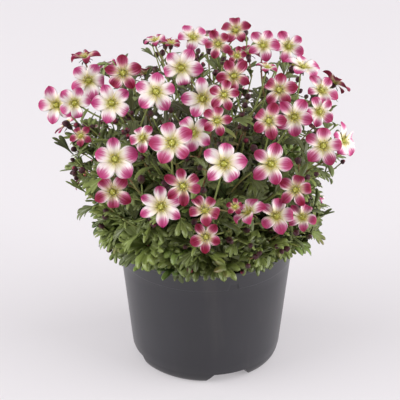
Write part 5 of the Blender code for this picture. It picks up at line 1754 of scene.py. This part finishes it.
def petal_material(plant):
    """Yellow-green at its foot, cream in the middle, flushed from its tip along fine veins."""
    made, graph, shader, patches, grain, along, side, rib, _, streak = new_material(
        "petal", 0.62, 0.16, (260.0, 2200.0), (20.0, 1.0))
    depth, chance, under = graph.face_values()
    wave = (streak - 0.5) * 0.95
    reach = depth * 0.66 + 0.35 + (chance - 0.5) * 0.16
    away = (1.0 - along) / reach + side * side * 0.42 + wave - under * 0.12
    deep = depth.step(0.42, 0.92)
    tip = graph.mix((depth + under * 0.15).step(0.15, 0.75), plant.rose, plant.crimson)
    tip = tip.toward(linear(108, 4, 36), deep * 0.80)
    blush = graph.mix(deep * 0.75, plant.blush, linear(168, 26, 80))
    colour = graph.mix(streak.step(0.56, 0.74) * 0.22 * along.step(0.15, 0.5), plant.cream, plant.blush)
    # A pink line along the middle of the petal: partly its midvein, partly painted shade of the crease there.
    colour = colour.toward(plant.blush, rib * along.step(0.25, 0.65) * 0.40)
    colour = colour.toward(blush, 1.0 - away.step(0.60, 1.18))
    colour = colour.toward(tip, 1.0 - away.step(0.26, 0.92))
    inward = along + wave * 0.4
    colour = colour.toward(linear(242, 232, 168), (1.0 - inward.step(0.26, 0.56)) * 0.45)
    throat = graph.mix(depth.step(0.50, 0.80), plant.throat, linear(140, 128, 48))
    colour = colour.toward(throat, (1.0 - inward.step(0.12, 0.40)) * 0.85)
    graph.feed(shader["Base Color"], colour.toward(plant.blush, patches * 0.10))
    set_bump(graph, shader, streak + grain * 0.3, 0.35, 0.15 * MM)
    graph.feed(shader["Roughness"], grain * 0.2 + 0.50)
    return made


def eye_material():
    """The ovary, olive to yellow-green, with paler filaments and yellow anthers."""
    made, graph, shader, patches, grain, along, *_ = new_material(
        "eye", 0.5, 0.4, (900.0, 3000.0), (8.0, 2.0))
    depth = graph.face_value("depth")
    colour = graph.mix(along, linear(122, 120, 38), linear(182, 178, 68))
    pale = graph.mix(patches, linear(206, 208, 116), linear(226, 222, 150))
    anther = graph.mix(patches, linear(190, 170, 74), linear(214, 204, 110))
    colour = colour.toward(pale, depth.step(0.45, 0.60)).toward(anther, depth.step(0.80, 0.95))
    graph.feed(shader["Base Color"], colour)
    set_bump(graph, shader, grain, 0.4, 0.1 * MM)
    return made


def leaf_material(plant):
    """A green that changes from leaf to leaf, with paler ribs and margins, and painted shade that darkens it
    deep inside the head and low down at the foot of the cushion.
    """
    made, graph, shader, patches, grain, along, _, rib, margin, streak = new_material(
        "leaf", 0.5, 0.5, (170.0, 1800.0), (9.0, 3.0))
    depth, chance, under = graph.face_values()
    light = chance * 0.70 + patches * 0.18 + streak * 0.20 + along.step(0.45, 1.0) * 0.16
    colour = graph.mix(light.step(0.12, 1.05), plant.leaf_dark, plant.leaf_light)
    colour = colour.toward(linear(140, 158, 88), rib * 0.22).toward(linear(172, 186, 122), margin * 0.55)
    colour = colour.toward(linear(134, 154, 104), under * 0.40)
    colour = colour.toward(linear(108, 92, 54), depth.step(0.20, 0.27) * 0.25)
    # Painted shade: leaves deep inside the head turn dark brown as their depth grows towards its heart.
    colour = colour.toward(linear(54, 40, 24), depth.step(0.30, 0.80) * 0.75)
    # Painted shade: leaves low down round the foot of the cushion are darkened.
    low = 1.0 - graph.split(graph.place())[2].step(82 * MM, 104 * MM)
    colour = colour.toward(linear(56, 74, 34), low * 0.34)
    colour = colour.toward(linear(120, 72, 52), chance.step(0.90, 1.0) * along.step(0.5, 1.0) * 0.45)
    graph.feed(shader["Base Color"], colour)
    set_bump(graph, shader, grain * 0.5 - rib, 0.4, 0.2 * MM)
    graph.feed(shader["Roughness"], patches * 0.16 + 0.38)
    return made


def stem_material(plant):
    """Olive green, flushed red in places."""
    made, graph, shader, patches, _, along, *_, streak = new_material(
        "stem", 0.55, 0.4, (110.0, 1600.0), (6.0, 1.0))
    red = graph.face_value("chance") + patches * 0.45 + along * 0.10
    graph.feed(shader["Base Color"], graph.mix(red.step(0.70, 1.45), plant.stem_green, plant.stem_red))
    set_bump(graph, shader, streak, 0.3, 0.15 * MM)
    return made


def bud_material(plant):
    """Dark maroon sepals, green at the foot of the cup and crimson where the petals show."""
    made, graph, shader, patches, grain, along, *_, streak = new_material(
        "bud", 0.55, 0.4, (420.0, 2400.0), (10.0, 1.5))
    depth, chance = graph.face_value("depth"), graph.face_value("chance")
    along = along + (chance - 0.5) * 0.25
    colour = graph.mix(patches, plant.maroon, linear(48, 16, 24))
    colour = colour.toward(linear(84, 84, 44), (1.0 - along.step(0.05, 0.45)) * 0.7)
    petals = along.step(0.80, 0.95) * depth.step(0.4, 0.5) * chance.step(0.55, 0.9)
    graph.feed(shader["Base Color"], colour.toward(linear(132, 22, 54), petals))
    set_bump(graph, shader, streak + grain, 0.4, 0.15 * MM)
    return made


def thatch_shade_material():
    """Dead leaves and old stems, darkened with the painted shade of the cushion's inside."""
    made, graph, shader, patches, grain = new_material("thatch_painted_shade", 0.9, 0.2, (330.0, 1400.0))
    # Painted shade: near-black greens for the shade inside the cushion, with browner flecks of dead leaves.
    colour = graph.mix(patches, linear(26, 30, 16), linear(52, 56, 28))
    graph.feed(shader["Base Color"], colour.toward(linear(70, 54, 34), grain.step(0.50, 0.75)))
    set_bump(graph, shader, grain, 0.9, 1.0 * MM)
    return made


def peat_material(pot):
    """Moist dark peat with paler fibres."""
    made, graph, shader, patches, grain = new_material("peat", 0.95, 0.2, (240.0, 1700.0))
    colour = graph.mix(patches, [value * 0.45 for value in pot.peat], pot.peat)
    graph.feed(shader["Base Color"], colour.toward(linear(96, 74, 54), grain.step(0.58, 0.72)))
    graph.feed(shader["Roughness"], grain * 0.2 + 0.78)
    set_bump(graph, shader, grain, 0.8, 0.6 * MM)
    return made


def plastic_material(pot):
    """Satin moulded plastic, a little uneven, with faint dust and wiping marks."""
    made, graph, shader, patches, grain = new_material("pot_plastic", 0.42, 0.60, (28.0, 2600.0))
    shader["Coat Weight"].default_value = 0.12
    shader["Coat Roughness"].default_value = 0.25
    x, y, z = graph.split(graph.place())
    marks = graph.noise(graph.vector(x * 60.0, y * 60.0, z * 9.0), 1.0, 4.0, 0.4)
    colour = graph.mix(patches, pot.plastic, [min(1.0, value * 1.25) for value in pot.plastic])
    dust = marks.step(0.55, 0.85) * 0.10 + (1.0 - z.step(0.0, 10 * MM)) * 0.05
    graph.feed(shader["Base Color"], colour.toward(linear(128, 120, 112), dust))
    graph.feed(shader["Roughness"], marks * 0.14 + 0.29)
    set_bump(graph, shader, grain, 0.12, 0.06 * MM)
    return made


def floor_material(stage):
    """A plain pale floor, almost even, lit a little from below as a light table is."""
    made, graph, shader = new_material("floor", 0.8, 0.1)
    paler = [min(1.0, value * 1.03) for value in stage.floor_colour]
    colour = graph.mix(graph.noise(graph.place(), 2.0), stage.floor_colour, paler)
    graph.feed(shader["Base Color"], colour.toward((0.0, 0.0, 0.0), stage.glow))
    graph.feed(shader["Emission Color"], colour)
    shader["Emission Strength"].default_value = stage.glow
    return made


SKINS = []


def plant_materials(plant):
    """The plant's materials in the order of the skins, made once."""
    if not SKINS:
        SKINS.extend((petal_material(plant), eye_material(), leaf_material(plant), stem_material(plant),
                      bud_material(plant), thatch_shade_material()))
    return SKINS


PLAN = {}


def planned(word):
    """The plant's sprays, shoots or cushion leaves, or the ground that they leave open, worked out once."""
    if not PLAN:
        PLAN["sprays"], PLAN["shoots"], PLAN["leaves"] = plan_plant()
        PLAN["ground"] = Open(PLAN["sprays"])
    return PLAN[word]


def make_growths(word, title, slot, seed, settings):
    """A piece for each of the plant's sprays or shoots, in the place of the frame's own."""
    for number, growth in enumerate(planned(f"{word}s")):
        piece = Piece()
        dress_growth(piece, growth, random.Random(SEED * seed + number), planned("ground"), settings)
        made = piece.make(f"{title}_{number + 1:02d}", plant_materials(settings))
        finish_piece(made, slot, f"{word}_{number + 1:02d}")


def make_foliage(grow, title, count, batches, draw, settings):
    """More foliage than the frame has, shared out over a few pieces."""
    for batch in range(batches):
        piece = Piece()
        for number in range(batch, count, batches):
            grow(piece, draw, planned("ground"), number, settings)
        finish_piece(piece.make(f"{title}_{batch + 1}", plant_materials(settings)), "leaf")


class SAXIFRAGE_OT_pot(bpy.types.Operator):
    """Makes the moulded pot"""

    bl_idname = "saxifrage.pot"
    bl_label = "Make the pot"

    def execute(self, context):
        settings = context.scene.saxifrage_pot
        pot = make_pot(settings)
        pot.data.materials.append(plastic_material(settings))
        finish_piece(pot, "pot_plastic", "pot")
        return {"FINISHED"}


class SAXIFRAGE_OT_peat(bpy.types.Operator):
    """Makes the peat and its crumbs"""

    bl_idname = "saxifrage.peat"
    bl_label = "Make the peat"

    def execute(self, context):
        settings = context.scene.saxifrage_pot
        peat, crumbs = make_peat(settings, random.Random(SEED + 1))
        finish = peat_material(settings)
        peat.data.materials.append(finish)
        finish_piece(peat, "peat", "soil")
        finish_piece(crumbs.make("peat_crumbs", {THATCH_SKIN: finish}), "peat")
        return {"FINISHED"}


class SAXIFRAGE_OT_cushion(bpy.types.Operator):
    """Makes the cushion: its dark inside with painted shade, its lobed leaves and the tufts round it"""

    bl_idname = "saxifrage.cushion"
    bl_label = "Make the cushion"

    def execute(self, context):
        settings = context.scene.saxifrage_plant
        skins = plant_materials(settings)
        draw = random.Random(SEED + 2)
        mound = Piece()
        make_shade_mound(mound)
        finish_piece(mound.make("cushion_shade_mound", skins), "leaf", "cushion")
        leaves = Piece()
        for leaf in planned("leaves"):
            add_leaf(leaves, leaf, draw, settings.blade)
        finish_piece(leaves.make("cushion_leaves", skins), "leaf", "cushion")
        make_foliage(leaf_tuft, "cushion_tufts", settings.tufts, TUFT_BATCHES, draw, settings)
        return {"FINISHED"}


class SAXIFRAGE_OT_sprays(bpy.types.Operator):
    """Makes the flowering stems with their blooms, buds and leaves"""

    bl_idname = "saxifrage.sprays"
    bl_label = "Make the flowering stems"

    def execute(self, context):
        make_growths("spray", "flower_spray", "petal", 100, context.scene.saxifrage_plant)
        return {"FINISHED"}


class SAXIFRAGE_OT_shoots(bpy.types.Operator):
    """Makes the leafy stems without flowers, and the foliage that fills the head"""

    bl_idname = "saxifrage.shoots"
    bl_label = "Make the leafy stems"

    def execute(self, context):
        settings = context.scene.saxifrage_plant
        make_growths("shoot", "leafy_shoot", "leaf", 200, settings)
        make_foliage(filler_stem, "inner_foliage", settings.fillers, FILLER_BATCHES, random.Random(SEED + 3),
                     settings)
        return {"FINISHED"}


def area_light(name, place, width, height, power):
    """A soft light of a width and a height that faces the middle of the plant."""
    light = bpy.data.lights.new(name, "AREA")
    light.shape = "RECTANGLE"
    light.size = width
    light.size_y = height
    light.energy = power
    made = place_new(name, light)
    made.location = place
    made.rotation_euler = (LIT_POINT - Vector(place)).to_track_quat("-Z", "Y").to_euler()
    made.visible_camera = False


def studio_walls(settings):
    """Even pale light from all round, weaker from behind the camera."""
    world = bpy.data.worlds.new("studio")
    world.use_nodes = True
    graph = Graph(world.node_tree)
    _, way, _ = graph.split(graph.add("ShaderNodeTexCoord"))
    share = way.step(-0.92, -0.30) * 0.80 + 0.20 + way.step(0.2, 0.9) * 0.90
    back = world.node_tree.nodes["Background"].inputs
    back["Color"].default_value = SKY_COLOUR
    graph.feed(back["Strength"], share * settings.sky)
    return world


class SAXIFRAGE_OT_stage(bpy.types.Operator):
    """Makes the pale floor, the soft light and the camera"""

    bl_idname = "saxifrage.stage"
    bl_label = "Make the stage"

    def execute(self, context):
        settings = context.scene.saxifrage_stage
        shape = bmesh.new()
        bmesh.ops.create_circle(shape, cap_ends=True, segments=FLOOR_SIDES, radius=settings.floor)
        floor = add_solid("floor", shape)
        floor.data.materials.append(floor_material(settings))
        area_light("key", (0.0, -0.8, 1.8), 1.2, 1.2, settings.key)
        for name, side in (("left", -5.0), ("right", 5.0)):
            area_light(name, (side, -0.88, 1.5), 5.4, 2.8, settings.sides)
        context.scene.world = studio_walls(settings)
        context.scene.view_settings.view_transform = "Standard"
        lens = bpy.data.cameras.new("camera")
        lens.sensor_width = SENSOR_WIDTH
        lens.lens = lens.sensor_width * VIEW_FOCAL_PIXELS / (2 * VIEW_MIDDLE_PIXEL)
        lens.clip_start = 0.01
        camera = place_new("camera", lens)
        camera.location = LENS
        camera.rotation_euler = (math.pi / 2 - VIEW_TILT, 0.0, 0.0)
        context.scene.camera = camera
        return {"FINISHED"}


class SAXIFRAGE_PT_panel(bpy.types.Panel):
    """Lists the steps that make the plant"""

    bl_label = "Potted saxifrage"
    bl_idname = "SAXIFRAGE_PT_panel"
    bl_space_type = "VIEW_3D"
    bl_region_type = "UI"
    bl_category = "Saxifrage"

    def draw(self, context):
        for word, operators in (("saxifrage_pot", ("pot", "peat")),
                                ("saxifrage_plant", ("cushion", "sprays", "shoots")),
                                ("saxifrage_stage", ("stage",))):
            box = self.layout.box()
            settings = getattr(context.scene, word)
            for name in settings.bl_rna.properties.keys():
                if name not in ("rna_type", "name"):
                    box.prop(settings, name)
            for name in operators:
                box.operator(f"saxifrage.{name}")


CLASSES = (PotSettings, PlantSettings, StageSettings, SAXIFRAGE_OT_pot, SAXIFRAGE_OT_peat,
           SAXIFRAGE_OT_cushion, SAXIFRAGE_OT_sprays, SAXIFRAGE_OT_shoots, SAXIFRAGE_OT_stage,
           SAXIFRAGE_PT_panel)


SETTINGS = {"saxifrage_pot": PotSettings, "saxifrage_plant": PlantSettings, "saxifrage_stage": StageSettings}


def register():
    for each in CLASSES:
        bpy.utils.register_class(each)
    for word, kind in SETTINGS.items():
        setattr(bpy.types.Scene, word, bpy.props.PointerProperty(type=kind))


def unregister():
    for word in SETTINGS:
        delattr(bpy.types.Scene, word)
    for each in reversed(CLASSES):
        bpy.utils.unregister_class(each)


def main():
    register()
    bpy.ops.saxifrage.stage()
    bpy.ops.saxifrage.pot()
    bpy.ops.saxifrage.peat()
    bpy.ops.saxifrage.cushion()
    bpy.ops.saxifrage.sprays()
    bpy.ops.saxifrage.shoots()


if __name__ == "__main__":
    main()
